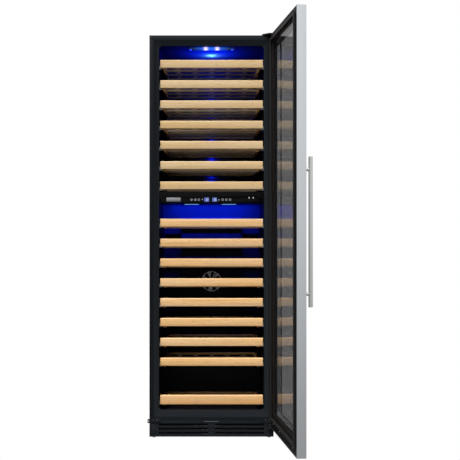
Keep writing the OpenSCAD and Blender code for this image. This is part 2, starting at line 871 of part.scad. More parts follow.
module air_ducts() {
    color(black) {
        air_duct(z_upper + duct_end, z_ceiling - duct_end, z_upper_fan);
        air_duct(z_hump + duct_end/2, z_lower - duct_end, z_lower_fan);
    }
}

module zone_fan(z) {
    fan(0, y_duct + wall_t + boss_l + fan_play, z, zone_fan_r);
}

// A cooling plate with its tubes, one in each duct
module evaporators() {
    y_cold = y_wall - cold_gap - cold_t;
    color([0.75, 0.76, 0.78]) for (z = [z_upper_fan, z_lower_fan]) {
        slab(-cold_w/2, cold_w/2, y_cold, y_cold + cold_t, z - cold_h/2, z + cold_h/2);
        for (k = [1:cold_tubes])
            translate([-cold_w/2 + tube_short, y_cold - tube_r + 0.5,
                       z + (k/(cold_tubes + 1) - 0.5)*cold_h])
                rotate([0, 90, 0]) cylinder(r = tube_r, h = cold_w - 2*tube_short);
    }
}

module condenser() {
    x0 = bay_fan_x - coil_w/2;
    z_coil = z_base + coil_rise;
    color([0.5, 0.3, 0.2]) {
        for (k = [0:coil_fins - 1])
            translate([x0 + k*(coil_w - fin_t)/(coil_fins - 1), y_coil, z_coil])
                cube([fin_t, coil_d, coil_w]);
        for (y = [y_coil + coil_row_inset, y_coil + coil_d - coil_row_inset], k = [0:3])
            translate([x0 - coil_frame, y, z_coil + coil_inset + k*(coil_w - 2*coil_inset)/3])
                rotate([0, 90, 0]) cylinder(r = tube_r, h = coil_w + 2*coil_frame);
        for (x = [x0 - coil_frame, x0 + coil_w + coil_frame - coil_frame_t])
            slab(x, x + coil_frame_t, y_coil, y_coil + coil_d, z_base, z_base + coil_w);
        guarded_wall(bay_fan_x, bay_fan_z, bay_fan_r + hole_gap, y_shroud, shroud_t)
            sheet(bay_fan_x - shroud/2, bay_fan_x + shroud/2, z_base, bay_fan_z + shroud/2 + hole_gap);
    }
}

// A hermetic compressor: a domed shell on a foot plate with four rubber mounts
module compressor() {
    color(black) translate([pump_x, pump_y, z_pump]) {
        rotate_extrude($fn = 64) intersection() {
            round_sheet(-pump_r, pump_r, 0, pump_h, pump_edge);
            sheet(0, pump_r, 0, pump_h);
        }
        difference() {
            translate([-foot_plate[0]/2, -foot_plate[1]/2, 1 - foot_plate[2]]) cube(foot_plate);
            for (x = [-1, 1], y = [-1, 1])
                translate([x*mount_at[0], y*mount_at[1], -foot_plate[2]]) cylinder(r = mount_hole_r, h = 5);
        }
        for (x = [-1, 1], y = [-1, 1])
            translate([x*mount_at[0], y*mount_at[1], -pump_foot])
                cylinder(r = mount_r, h = pump_foot + 1 - foot_plate[2] + eps);
        translate([-pump_r - relay[0]/2 - 1, -relay[1]/2, relay_z]) cube(relay);
    }
}

module drip_tray() {
    color([0.2, 0.2, 0.2])
        translate([pump_x - tray[0]/2, pump_y - tray[1]/2, z_pump + pump_h]) difference() {
            cube(tray);
            translate([tray_t, tray_t, tray_t]) cube(tray - [2*tray_t, 2*tray_t, 0]);
        }
}

// A recessed three-pin mains inlet
module power_inlet() {
    color(black) translate([inlet_x, y_back, inlet_z]) {
        difference() {
            slab(-inlet_w/2, inlet_w/2, -inlet_d, 0, -inlet_h/2, inlet_h/2);
            slab(-socket[0]/2, socket[0]/2, -socket_d, 1, -socket[1]/2, socket[1]/2);
        }
        for (k = [-1:1])
            translate([k*pin_pitch - blade_pin[0]/2, -socket_d - eps, pin_z[k + 1]])
                cube([blade_pin[0], socket_d - pin_short, blade_pin[1]]);
    }
}

// ---- Feet ----

module foot(x, y) {
    color(black) translate([x, y, 0]) cylinder(r = pad_r, h = pad_h);
    color(zinc) translate([x, y, pad_h - eps]) cylinder(r = stem_r, h = stem_h);
}

outer_case();
back_panel();
base_plate();
insulation_foam();
upper_liner();
lower_liner();
front_frame();
control_panel();
display_windows();
interior_lamps();
air_ducts();
evaporators();
slide_rails();
toe_kick_grille();
top_hinge();
bottom_hinge();
cabinet_screws();
niche_lugs();
compressor();
condenser();
drip_tray();
power_inlet();
compartment_cover();
door_frame();
door_backframe();
outer_glass();
inner_glass();
glass_spacer();
door_gasket();
handle_bar();
handle_posts();
zone_fan(z_upper_fan);  // upper_fan
zone_fan(z_lower_fan);  // lower_fan
fan(bay_fan_x, y_shroud + shroud_t + boss_l + fan_play, bay_fan_z, bay_fan_r);  // condenser_fan
foot(-x_foot, -y_foot);  // foot_fl
foot(x_foot, -y_foot);  // foot_fr
foot(-x_foot, y_foot);  // foot_rl
foot(x_foot, y_foot);  // foot_rr
for (i = [0:len(key_x) - 1]) key(i);
for (i = [0:shelf_count - 1]) shelf(i);
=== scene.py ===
"""Wine cooler: the finishes and the fine detail of its cabinet, door, shelves and controls."""

import json
import math
import random
from itertools import product

import bmesh
import bpy
from bpy.props import FloatProperty, FloatVectorProperty, IntProperty, PointerProperty
from mathutils import Matrix, Vector


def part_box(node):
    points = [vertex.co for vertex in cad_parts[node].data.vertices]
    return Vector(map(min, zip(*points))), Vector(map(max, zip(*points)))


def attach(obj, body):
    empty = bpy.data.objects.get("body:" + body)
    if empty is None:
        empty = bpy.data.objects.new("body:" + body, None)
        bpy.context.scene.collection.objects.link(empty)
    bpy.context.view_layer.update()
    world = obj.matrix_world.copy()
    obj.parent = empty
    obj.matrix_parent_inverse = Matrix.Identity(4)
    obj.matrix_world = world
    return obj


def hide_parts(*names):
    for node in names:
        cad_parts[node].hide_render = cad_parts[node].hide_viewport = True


bl_info = {
    "name": "Wine Cooler",
    "version": (1, 0, 0),
    "blender": (4, 5, 0),
    "location": "View3D > Sidebar > Wine Cooler",
    "description": "Dresses a dual-zone wine cooler: case, door, shelves, controls, lamps and cooling",
    "category": "Add Mesh",
}

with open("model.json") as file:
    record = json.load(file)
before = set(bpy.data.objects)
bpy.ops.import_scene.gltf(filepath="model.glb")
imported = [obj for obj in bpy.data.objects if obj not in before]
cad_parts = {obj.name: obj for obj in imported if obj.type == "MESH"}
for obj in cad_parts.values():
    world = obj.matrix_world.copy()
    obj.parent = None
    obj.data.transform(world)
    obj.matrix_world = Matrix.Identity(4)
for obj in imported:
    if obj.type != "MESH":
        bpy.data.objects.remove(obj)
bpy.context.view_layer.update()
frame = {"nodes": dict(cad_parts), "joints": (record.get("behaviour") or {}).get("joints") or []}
SHELVES = sorted(n for n in frame["nodes"] if n.startswith("shelf_"))
KEYS = sorted(n for n in frame["nodes"] if n.startswith("key_"))
FEET = sorted(n for n in frame["nodes"] if n.startswith("foot_"))
FANS = ("upper_fan", "lower_fan", "condenser_fan")
CREASE = 35
SAME = 1e-6
RAIL_WIDTH = 0.0146
LENS_X = 0.028
NO_BORDER = (0, 0, 0, 0)
ALONG_X, ALONG_Y = "cab", "acb"
DOOR_JOINT = next(j for j in frame["joints"] if j["name"] == "door_hinge")


def srgb(red, green, blue):
    """A colour given on the usual 0 to 255 scale, as the linear values that shaders use."""
    out = []
    for value in (red, green, blue):
        share = value / 255
        out.append(share / 12.92 if share <= 0.04045 else ((share + 0.055) / 1.055) ** 2.4)
    return tuple(out)


def length(name, description, default):
    """A size property in metres."""
    return FloatProperty(name=name, description=description, default=default, min=0, unit="LENGTH")


def tint(name, description, colour):
    """A colour property."""
    return FloatVectorProperty(
        name=name, description=description, default=srgb(*colour), subtype="COLOR", size=3, min=0, max=1
    )


class CoolerSizes(bpy.types.PropertyGroup):
    """Sizes of the detail that the frame does not fix."""

    sheet_edge: length("Sheet edge", "Radius on the edges of pressed sheet", 0.0006)
    case_edge: length("Case edge", "Radius on the edges of the case", 0.001)
    steel_edge: length("Door edge", "Radius on the edges of the steel door frame", 0.0012)
    wood_edge: length("Wood edge", "Radius on the edges of the shelf fronts", 0.0028)
    slat_edge: length("Slat edge", "Radius on the edges of rails and slats", 0.0012)
    ball_radius: length("Ball radius", "Radius of the balls in the slides", 0.0016)
    louvre_tilt: FloatProperty(name="Louvre tilt", description="Slope of the toe-kick blades",
                               default=math.radians(35), subtype="ANGLE")
    ring_radius: length("Key ring", "Radius of the ring printed on a key", 0.0051)
    ring_width: length("Key ring width", "Width of the ring printed on a key", 0.0011)


class CoolerColours(bpy.types.PropertyGroup):
    """Colours of the finishes."""

    case: tint("Case", "Powder coat of the case and front frame", (20, 24, 28))
    liner: tint("Liner", "Moulded liner", (15, 16, 19))
    wood_top: tint("Upper beech", "Lacquered beech, upper shelves", (221, 187, 134))
    wood_low: tint("Lower beech", "Lacquered beech, lower shelves", (240, 190, 126))
    wood_last: tint("Lowest beech", "Lacquered beech, lowest shelf", (230, 176, 114))
    wood_grain: tint("Beech grain", "Darker grain lines", (202, 158, 104))
    steel: tint("Door steel", "Brushed stainless steel", (214, 218, 221))
    handle: tint("Handle steel", "Satin stainless tube", (212, 214, 211))
    glass: tint("Glass", "Tinted pane", (40, 40, 42))
    mark: tint("Marks", "Printed marks and icons", (214, 218, 226))


class CoolerView(bpy.types.PropertyGroup):
    """Camera and light."""

    distance: length("Distance", "From the case's front to the camera", 4.37)
    eye: length("Eye height", "Camera height above the floor", 1.008)
    lens: FloatProperty(name="Focal length", description="Lens", default=71.39, unit="CAMERA")
    shift_x: FloatProperty(name="Shift X", description="Lens shift sideways", default=0.0402)
    shift_y: FloatProperty(name="Shift Y", description="Lens shift upwards", default=-0.0043)
    zone_light: FloatProperty(name="Zone light", description="Power of the interior lamps, in watts",
                              default=0.3, min=0)
    key_light: FloatProperty(name="Key light", description="Strength of the high front light",
                             default=4.95, min=0)
    seed: IntProperty(name="Seed", description="Seed for the grain offsets", default=7)


# ---- Materials ----


def new_node(tree, kind, values=(), operation=None):
    """A node with its operation and its (input, value) pairs set."""
    node = tree.nodes.new(kind)
    if operation:
        node.operation = operation
    for socket, value in values:
        node.inputs[socket].default_value = value
    return node


def wire(tree, *pairs):
    """Links each (output, input) pair."""
    for output, socket in pairs:
        tree.links.new(output, socket)


class Finish:
    """Builds one node material: a Principled shader with patterns on Object coordinates."""

    def __init__(self, name, colour, roughness=0.5, metallic=0.0, specular=0.5):
        self.material = bpy.data.materials.new(name)
        self.material.use_nodes = True
        self.tree = self.material.node_tree
        self.shader = self.tree.nodes["Principled BSDF"]
        self.set("Base Color", (*colour, 1))
        self.set("Roughness", roughness)
        self.set("Metallic", metallic)
        self.set("Specular IOR Level", specular)
        self.material.diffuse_color = (*colour, 1)
        self.coords = self.tree.nodes.new("ShaderNodeTexCoord").outputs["Object"]

    def set(self, socket, value):
        """Sets an unlinked shader socket."""
        self.shader.inputs[socket].default_value = value
        return self

    def attribute(self, name):
        """Reads the patterns from a named attribute of the piece."""
        node = self.tree.nodes.new("ShaderNodeAttribute")
        node.attribute_name = name
        self.coords = node.outputs["Vector"]
        return self

    def stretched(self, scale):
        """The coordinates scaled differently along each axis."""
        node = new_node(self.tree, "ShaderNodeMapping", [("Scale", scale)])
        wire(self.tree, (self.coords, node.inputs["Vector"]))
        return node.outputs["Vector"]

    def noise(self, scale, detail=3.0, rough=0.5, size=1.0, distort=0.0):
        """A noise pattern's factor; scale is one number for each axis."""
        values = [("Scale", size), ("Detail", detail), ("Roughness", rough), ("Distortion", distort)]
        node = new_node(self.tree, "ShaderNodeTexNoise", values)
        wire(self.tree, (self.stretched(scale), node.inputs["Vector"]))
        return node.outputs["Fac"]

    def place(self, axis):
        """Where the point lies along an axis of the piece."""
        where = self.tree.nodes.new("ShaderNodeTexCoord").outputs["Object"]
        split = self.tree.nodes.new("ShaderNodeSeparateXYZ")
        wire(self.tree, (where, split.inputs[0]))
        return split.outputs[axis]

    def away(self, value, other):
        """How far a value is from another, with no sign."""
        for operation, second in (("SUBTRACT", other), ("ABSOLUTE", 0.0)):
            node = new_node(self.tree, "ShaderNodeMath", [(1, second)], operation)
            wire(self.tree, (value, node.inputs[0]))
            value = node.outputs[0]
        return value

    def height(self, low, high):
        """A share that rises from 0 to 1 as Z goes from low to high."""
        return self.ranged(self.place("Z"), 0.0, 1.0, low, high)

    def ranged(self, factor, low, high, start=0.0, stop=1.0):
        """Maps a factor to a range."""
        values = [("From Min", start), ("From Max", stop), ("To Min", low), ("To Max", high)]
        node = new_node(self.tree, "ShaderNodeMapRange", values)
        wire(self.tree, (factor, node.inputs["Value"]))
        return node.outputs["Result"]

    def mixed(self, factor, first, second):
        """Two colours, or colour outputs, mixed by a factor."""
        node = self.tree.nodes.new("ShaderNodeMix")
        node.data_type = "RGBA"
        colour_a, colour_b, colour_out = 6, 7, 2
        for socket, value in (("Factor", factor), (colour_a, first), (colour_b, second)):
            if isinstance(value, bpy.types.NodeSocket):
                wire(self.tree, (value, node.inputs[socket]))
            else:
                node.inputs[socket].default_value = value if isinstance(value, float) else (*value, 1)
        return node.outputs[colour_out]

    def drive(self, socket, value):
        """Links an output to a shader socket."""
        wire(self.tree, (value, self.shader.inputs[socket]))
        return self

    def bump(self, factor, depth):
        """Adds a bump of that depth, in metres; bumps add up."""
        node = new_node(self.tree, "ShaderNodeBump", [("Distance", depth), ("Strength", 1.0)])
        wire(self.tree, (factor, node.inputs["Height"]))
        under = self.shader.inputs["Normal"]
        if under.is_linked:
            wire(self.tree, (under.links[0].from_socket, node.inputs["Normal"]))
        wire(self.tree, (node.outputs["Normal"], under))
        return self

    def glow(self, colour, strength):
        """Makes the surface give light."""
        self.set("Emission Color", (*colour, 1))
        return self.set("Emission Strength", strength)


def lighter(colour, share):
    """A colour scaled by a share."""
    return tuple(min(1.0, c * share) for c in colour)


def powder_coat(name, colour, roughness=0.42):
    """Fine-textured powder coat."""
    f = Finish(name, colour, roughness, specular=0.15)
    grain = f.noise((1, 1, 1), 2.0, 0.6, 1400)
    cloud = f.noise((1, 1, 1), 3.0, 0.5, 5)
    f.drive("Base Color", f.mixed(cloud, lighter(colour, 0.85), lighter(colour, 1.18)))
    f.drive("Roughness", f.ranged(grain, roughness - 0.06, roughness + 0.1))
    return f.bump(grain, 0.00003).material


def moulded(name, colour, roughness=0.5, specular=0.2):
    """Moulded plastic with a slight orange peel."""
    f = Finish(name, colour, roughness, specular=specular)
    peel = f.noise((1, 1, 1), 2.0, 0.5, 420)
    cloud = f.noise((1, 1, 1), 2.0, 0.5, 9)
    f.drive("Base Color", f.mixed(cloud, lighter(colour, 0.85), lighter(colour, 1.15)))
    f.drive("Roughness", f.ranged(cloud, roughness - 0.05, roughness + 0.07))
    return f.bump(peel, 0.00002).material


def gloss_black(name, colour):
    """Piano-black plastic."""
    f = Finish(name, colour, 0.12, specular=0.05)
    smear = f.noise((1, 1, 1), 4.0, 0.6, 14)
    return f.drive("Roughness", f.ranged(smear, 0.05, 0.16)).material


def brushed(name, colour, along=(900, 900, 5), roughness=0.3, depth=0.000006):
    """Brushed steel; along is the pattern's scale on each axis, small in the brushing's direction."""
    f = Finish(name, colour, roughness, metallic=1.0)
    lines = f.noise(along, 3.0, 0.7, 1.0)
    broad = f.noise(tuple(a / 12 for a in along), 2.0, 0.5, 1.0)
    tone = f.mixed(lines, lighter(colour, 0.93), lighter(colour, 1.05))
    f.drive("Base Color", f.mixed(f.ranged(broad, 0.0, 0.3), tone, lighter(colour, 0.9)))
    f.drive("Roughness", f.ranged(lines, roughness - 0.07, roughness + 0.1))
    return f.bump(lines, depth).material


def zinc_plate(name, colour):
    """Zinc-plated sheet with a faint spangle."""
    f = Finish(name, colour, 0.38, metallic=0.9)
    spangle = f.noise((1, 1, 1), 2.0, 0.7, 60)
    f.drive("Base Color", f.mixed(spangle, lighter(colour, 0.8), lighter(colour, 1.12)))
    return f.drive("Roughness", f.ranged(spangle, 0.3, 0.5)).material


def beech(name, top, low, last, grain):
    """Clear-lacquered beech; the grain follows each piece's own length."""
    f = Finish(name, top, 0.42, specular=0.35).attribute("grain")
    fibre = f.noise((3.5, 130, 130), 4.0, 0.62, 1.0, 0.25)
    fleck = f.noise((38, 520, 520), 1.0, 0.4, 1.0)
    bands = f.noise((1.6, 26, 26), 3.0, 0.5, 1.0, 0.6)
    base = f.mixed(f.height(1.10, 1.18), f.mixed(f.height(0.19, 0.30), last, low), top)
    veined = f.mixed(f.ranged(fibre, -0.35, 0.75, 0.35, 0.7), base, grain)
    banded = f.mixed(f.ranged(bands, 0.0, 0.5, 0.35, 0.75), veined, f.mixed(0.5, base, (1.0, 0.9, 0.72)))
    spots = f.ranged(fleck, 0.0, 0.5, 0.6, 0.72)
    f.drive("Base Color", f.mixed(spots, banded, lighter(grain, 0.72)))
    f.drive("Roughness", f.ranged(fibre, 0.34, 0.52))
    f.set("Coat Weight", 0.12).set("Coat Roughness", 0.25)
    return f.bump(fibre, 0.00008).bump(fleck, 0.00005).material


def pane(name, colour, clear):
    """Tinted glass; clear is the share of light that one face lets through."""
    f = Finish(name, colour, 0.015, specular=0.5)
    smear = f.noise((1, 1, 1), 3.0, 0.5, 11)
    f.drive("Roughness", f.ranged(smear, 0.01, 0.03))
    f.set("Specular Tint", (0.7, 0.7, 0.7, 1))
    f.set("Alpha", 1 - clear).set("IOR", 1.5)
    return f.material


def lit(name, colour, strength):
    """A surface that gives light."""
    f = Finish(name, (0.02, 0.02, 0.03), 0.3).glow(colour, strength)
    return f.drive("Roughness", f.ranged(f.noise((1, 1, 1), 2.0, 0.5, 90), 0.25, 0.4)).material


def led_bar(name, at, reach):
    """A clear bar that glows deep blue, and nearly white over the two lamps at x = at and -at."""
    f = Finish(name, (0.01, 0.01, 0.02), 0.2)
    near = f.ranged(f.away(f.away(f.place("X"), 0.0), at), 1.0, 0.0, 0.0, reach)
    middle = f.ranged(f.away(f.place("X"), 0.0), 0.9, 0.06, 0.02, 0.09)
    f.drive("Emission Color", f.mixed(near, (0.02, 0.16, 1.0), (0.80, 0.66, 1.0)))
    total = new_node(f.tree, "ShaderNodeMath", [(1, 0.8)], "MULTIPLY_ADD")
    wire(f.tree, (near, total.inputs[0]), (middle, total.inputs[2]))
    return f.drive("Emission Strength", total.outputs[0]).material


def make_finishes(tints):
    """Every finish, by name."""
    wood = (tints.wood_top, tints.wood_low, tints.wood_last, tints.wood_grain)
    # painted shade: the slats take the beech darkened to this share, for the shade under the shelf fronts
    slat_shade_share = 0.22
    return {
        "case": powder_coat("case_powder_coat", tints.case),
        "liner": moulded("liner_plastic", tints.liner, 0.42, 0.07),
        "grille": moulded("grille_plastic", lighter(tints.case, 0.9), 0.38),
        # a lighter grey for the tab's fold
        "fold_grey": moulded("folded_tab", srgb(82, 85, 88), 0.4),
        "dark": moulded("dark_plastic", srgb(24, 24, 26), 0.45),
        "backframe": moulded("door_inner_plastic", srgb(33, 31, 30), 0.55, 0.03),
        "rubber": moulded("gasket_rubber", srgb(30, 30, 31), 0.62),
        "black_zinc": zinc_plate("black_zinc_screws", srgb(52, 53, 55)),
        "gloss": gloss_black("panel_gloss_black", srgb(12, 12, 13)),
        "steel": brushed("door_brushed_steel", tints.steel, roughness=0.28),
        "handle": brushed("handle_satin_steel", tints.handle, (1200, 1200, 60), 0.24),
        "zinc": zinc_plate("zinc_plated_sheet", srgb(168, 170, 172)),
        "runner": brushed("slide_steel", srgb(186, 188, 190), (700, 8, 700), 0.28),
        "spacer": brushed("spacer_aluminium", srgb(240, 241, 243), (300, 300, 300), 0.12, 0.000001),
        "aluminium": brushed("rolled_aluminium", srgb(196, 198, 200), (6, 500, 500), 0.34),
        "foam": moulded("cast_foam", srgb(226, 214, 172), 0.85),
        "beech": beech("lacquered_beech", *wood),
        # slats: the beech darkened, painted shade
        "slat": beech("stained_slats", *(lighter(colour, slat_shade_share) for colour in wood)),
        "glass": pane("tinted_glass", tints.glass, 0.55),
        # painted light: a light grey edge strip standing for the bright backdrop seen through the glass over
        # the shaded lip
        "seal": moulded("edge_seal", srgb(236, 236, 238), 0.5),
        "frit": gloss_black("black_enamel_edge", srgb(10, 10, 11)),
        "lamp": led_bar("lamp_lens_bar", LENS_X, 0.016),
        "strip": lit("lamp_strip", (0.22, 0.55, 1.0), 1.3),
        "spot": lit("lamp_lens", (0.86, 0.70, 1.0), 1.6),
        "dim": lit("lamp_lens_dim", (0.02, 0.07, 1.0), 3.0),
        "screen": lit("display_backlight", srgb(72, 96, 186), 0.8),
        "digit": lit("display_digits", srgb(206, 216, 250), 0.9),
        "mark": lit("printed_marks", tints.mark, 0.72),
        "badge": brushed("badge_plate", srgb(150, 152, 155), (5, 700, 700), 0.3),
        "compressor": gloss_black("compressor_paint", srgb(16, 16, 17)),
        "coil": powder_coat("condenser_paint", srgb(66, 50, 42), 0.4),
        "foot": moulded("foot_plastic", srgb(20, 20, 21), 0.5),
    }


# ---- Mesh helpers ----


def linked(name, mesh, *materials):
    """An object for the mesh, at the origin, with its materials."""
    ob = bpy.data.objects.new(name, mesh)
    bpy.context.scene.collection.objects.link(ob)
    if not mesh.materials:
        for material in materials:
            mesh.materials.append(material)
    return ob


def from_bmesh(name, bm, *materials, crease=CREASE):
    """Turns a bmesh into an object with smooth faces and sharp edges above the crease angle."""
    bmesh.ops.recalc_face_normals(bm, faces=bm.faces)
    mesh = bpy.data.meshes.new(name)
    bm.to_mesh(mesh)
    bm.free()
    mesh.shade_smooth()
    mesh.set_sharp_from_angle(angle=math.radians(crease))
    return linked(name, mesh, *materials)


def settled(ob):
    """Applies every modifier of the object and keeps the result as its mesh."""
    bpy.context.view_layer.update()
    view = bpy.context.evaluated_depsgraph_get()
    mesh = bpy.data.meshes.new_from_object(ob.evaluated_get(view), depsgraph=view)
    mesh.name = ob.name
    ob.modifiers.clear()
    ob.data = mesh
    mesh.shade_smooth()
    mesh.set_sharp_from_angle(angle=math.radians(CREASE))
    return ob


def merged(node):
    """A bmesh copy of a CAD node with shared corners and flat faces joined."""
    bm = bmesh.new()
    bm.from_mesh(frame["nodes"][node].data)
    bmesh.ops.remove_doubles(bm, verts=bm.verts, dist=SAME)
    bmesh.ops.dissolve_limit(bm, angle_limit=math.radians(0.5), verts=bm.verts, edges=bm.edges)
    return bm


def softened(name, bm, width, *materials, segments=2):
    """The shape with its sharp edges rounded by a bevel."""
    ob = from_bmesh(name, bm, *materials)
    bevel = ob.modifiers.new("round", "BEVEL")
    bevel.width = width
    bevel.segments = segments
    bevel.limit_method = "ANGLE"
    bevel.angle_limit = math.radians(40)
    bevel.use_clamp_overlap = True
    return settled(ob)


def span(points):
    """The lowest and highest corner of a set of points."""
    return tuple(Vector(pick(p[i] for p in points) for i in range(3)) for pick in (min, max))


def parts_of(node):
    """The lowest and highest corners of each separate solid of a CAD node."""
    bm = bmesh.new()
    bm.from_mesh(frame["nodes"][node].data)
    bmesh.ops.remove_doubles(bm, verts=bm.verts, dist=SAME)
    seen, boxes = set(), []
    for start in bm.verts:
        if start in seen:
            continue
        seen.add(start)
        queue, points = [start], []
        while queue:
            v = queue.pop()
            points.append(v.co.copy())
            for e in v.link_edges:
                other = e.other_vert(v)
                if other not in seen:
                    seen.add(other)
                    queue.append(other)
        boxes.append(span(points))
    bm.free()
    return boxes


def rounded_box(bm, low, high, radius, segments=2, slot=0):
    """Adds a box with rounded edges; returns its new vertices."""
    low, high = Vector(low), Vector(high)
    size, middle = high - low, (low + high) / 2
    place = Matrix.Translation(middle) @ Matrix.Diagonal((*size, 1))
    made = bmesh.ops.create_cube(bm, size=1, matrix=place)["verts"]
    faces = {f for v in made for f in v.link_faces}
    if radius > 0:
        edges = list({e for v in made for e in v.link_edges})
        out = bmesh.ops.bevel(bm, geom=edges, offset=min(radius, min(size) * 0.45), segments=segments,
                              profile=0.5, affect="EDGES", clamp_overlap=True)
        faces = {f for v in {v for f in out["faces"] for v in f.verts} for f in v.link_faces}
    for f in faces:
        f.material_index = slot
    return list({v for f in faces for v in f.verts})


def extruded(bm, outline, depth, origin, axes, slot=0):
    """Adds a closed prism from outline points (a, b), with c as its depth.

    axes names the letters that lie along X, Y and Z.
    """
    order = ["abc".index(letter) for letter in axes]
    rings = [[bm.verts.new([o + (a, b, c)[i] for o, i in zip(origin, order)]) for a, b in outline]
             for c in (0.0, depth)]
    faces = [bm.faces.new(rings[0]), bm.faces.new(list(reversed(rings[1])))]
    count = len(outline)
    for i in range(count):
        j = (i + 1) % count
        faces.append(bm.faces.new((rings[0][j], rings[0][i], rings[1][i], rings[1][j])))
    for f in faces:
        f.material_index = slot
    return rings[0] + rings[1]


def turned(bm, profile, origin, direction, segments=40, slot=0):
    """Adds a turned shape: profile is (radius, distance along the axis), from end to end."""
    turn = Vector((0, 0, 1)).rotation_difference(Vector(direction)).to_matrix()
    origin = Vector(origin)
    rings = []
    for radius, along in profile:
        angles = [2 * math.pi * k / segments for k in range(segments)] if radius > SAME else [0.0]
        points = [Vector((radius * math.cos(a), radius * math.sin(a), along)) for a in angles]
        rings.append([bm.verts.new(origin + turn @ point) for point in points])
    faces = []
    for first, second in zip(rings, rings[1:]):
        for k in range(segments):
            m = (k + 1) % segments
            if len(first) == 1:
                faces.append(bm.faces.new((first[0], second[k], second[m])))
            elif len(second) == 1:
                faces.append(bm.faces.new((first[m], first[k], second[0])))
            else:
                faces.append(bm.faces.new((first[k], second[k], second[m], first[m])))
    for ring in (rings[0], rings[-1]):
        if len(ring) > 1:
            faces.append(bm.faces.new(ring))
    for f in faces:
        f.material_index = slot
    return [v for ring in rings for v in ring]


def arc(cx, cy, radius, start, stop, steps=4):
    """Points on an arc, angles in degrees."""
    return [(cx + radius * math.cos(math.radians(start + (stop - start) * i / steps)),
             cy + radius * math.sin(math.radians(start + (stop - start) * i / steps)))
            for i in range(steps + 1)]


def swept_ring(bm, outer, borders, profile):
    """Sweeps a closed profile round a rectangle with mitred corners.

    outer is (x0, x1, z0, z1) and borders the widths (left, right, bottom, top). A profile point is
    (share, offset, y): it lies share of each border plus offset in from the outer edge.
    """
    x0, x1, z0, z1 = outer
    left, right, bottom, top = borders
    rings = []
    for share, offset, y in profile:
        a, b = x0 + share * left + offset, x1 - share * right - offset
        c, d = z0 + share * bottom + offset, z1 - share * top - offset
        rings.append([bm.verts.new(p) for p in ((a, y, c), (b, y, c), (b, y, d), (a, y, d))])
    for i, ring in enumerate(rings):
        after = rings[(i + 1) % len(rings)]
        for k in range(4):
            m = (k + 1) % 4
            bm.faces.new((ring[k], ring[m], after[m], after[k]))


def wooden():
    """An empty bmesh that can hold grain coordinates."""
    bm = bmesh.new()
    bm.verts.layers.float_vector.new("grain")
    return bm


def grained(bm, verts, axis, shift=(0, 0, 0)):
    """Stores grain coordinates on the vertices, with the first along the piece's length."""
    layer = bm.verts.layers.float_vector["grain"]
    order = {"X": (0, 1, 2), "Y": (1, 0, 2), "Z": (2, 0, 1)}[axis]
    for v in verts:
        v[layer] = Vector(v.co[i] for i in order) + Vector(shift)


# ---- Geometry Nodes ----


def new_tree(name, sockets):
    """A geometry tree with a Geometry input, the named inputs and a Geometry output."""
    tree = bpy.data.node_groups.new(name, "GeometryNodeTree")
    tree.interface.new_socket("Geometry", in_out="INPUT", socket_type="NodeSocketGeometry")
    for label, kind in sockets:
        tree.interface.new_socket(label, in_out="INPUT", socket_type=kind)
    tree.interface.new_socket("Geometry", in_out="OUTPUT", socket_type="NodeSocketGeometry")
    return tree, tree.nodes.new("NodeGroupInput"), tree.nodes.new("NodeGroupOutput")


def finish_tree(tree, source, instances, out):
    """Ends a tree with Realize Instances and Set Material."""
    real = tree.nodes.new("GeometryNodeRealizeInstances")
    paint = tree.nodes.new("GeometryNodeSetMaterial")
    wire(tree, (instances, real.inputs["Geometry"]),
         (real.outputs["Geometry"], paint.inputs["Geometry"]),
         (source.outputs["Material"], paint.inputs["Material"]),
         (paint.outputs["Geometry"], out.inputs["Geometry"]))
    return tree


def row_tree():
    """Repeats the object's own mesh in a straight row."""
    tree, source, out = new_tree("repeat_in_a_row", [
        ("Count", "NodeSocketInt"), ("Step", "NodeSocketVector"), ("Material", "NodeSocketMaterial")])
    line = tree.nodes.new("GeometryNodeMeshLine")
    place = tree.nodes.new("GeometryNodeInstanceOnPoints")
    wire(tree, (source.outputs["Count"], line.inputs["Count"]),
         (source.outputs["Step"], line.inputs["Offset"]),
         (line.outputs["Mesh"], place.inputs["Points"]),
         (source.outputs["Geometry"], place.inputs["Instance"]))
    return finish_tree(tree, source, place.outputs["Instances"], out)


def ring_tree():
    """Repeats the object's own mesh round the Y axis through a centre."""
    tree, source, out = new_tree("repeat_in_a_ring", [
        ("Count", "NodeSocketInt"), ("Centre", "NodeSocketVector"), ("Material", "NodeSocketMaterial")])
    points = tree.nodes.new("GeometryNodePoints")
    index = tree.nodes.new("GeometryNodeInputIndex")
    share = new_node(tree, "ShaderNodeMath", operation="DIVIDE")
    turn = new_node(tree, "ShaderNodeMath", [(1, 2 * math.pi)], "MULTIPLY")
    angles = tree.nodes.new("ShaderNodeCombineXYZ")
    place = tree.nodes.new("GeometryNodeInstanceOnPoints")
    wire(tree, (source.outputs["Count"], points.inputs["Count"]),
         (source.outputs["Centre"], points.inputs["Position"]),
         (index.outputs["Index"], share.inputs[0]), (source.outputs["Count"], share.inputs[1]),
         (share.outputs[0], turn.inputs[0]), (turn.outputs[0], angles.inputs["Y"]),
         (points.outputs["Geometry"], place.inputs["Points"]),
         (source.outputs["Geometry"], place.inputs["Instance"]),
         (angles.outputs["Vector"], place.inputs["Rotation"]))
    return finish_tree(tree, source, place.outputs["Instances"], out)


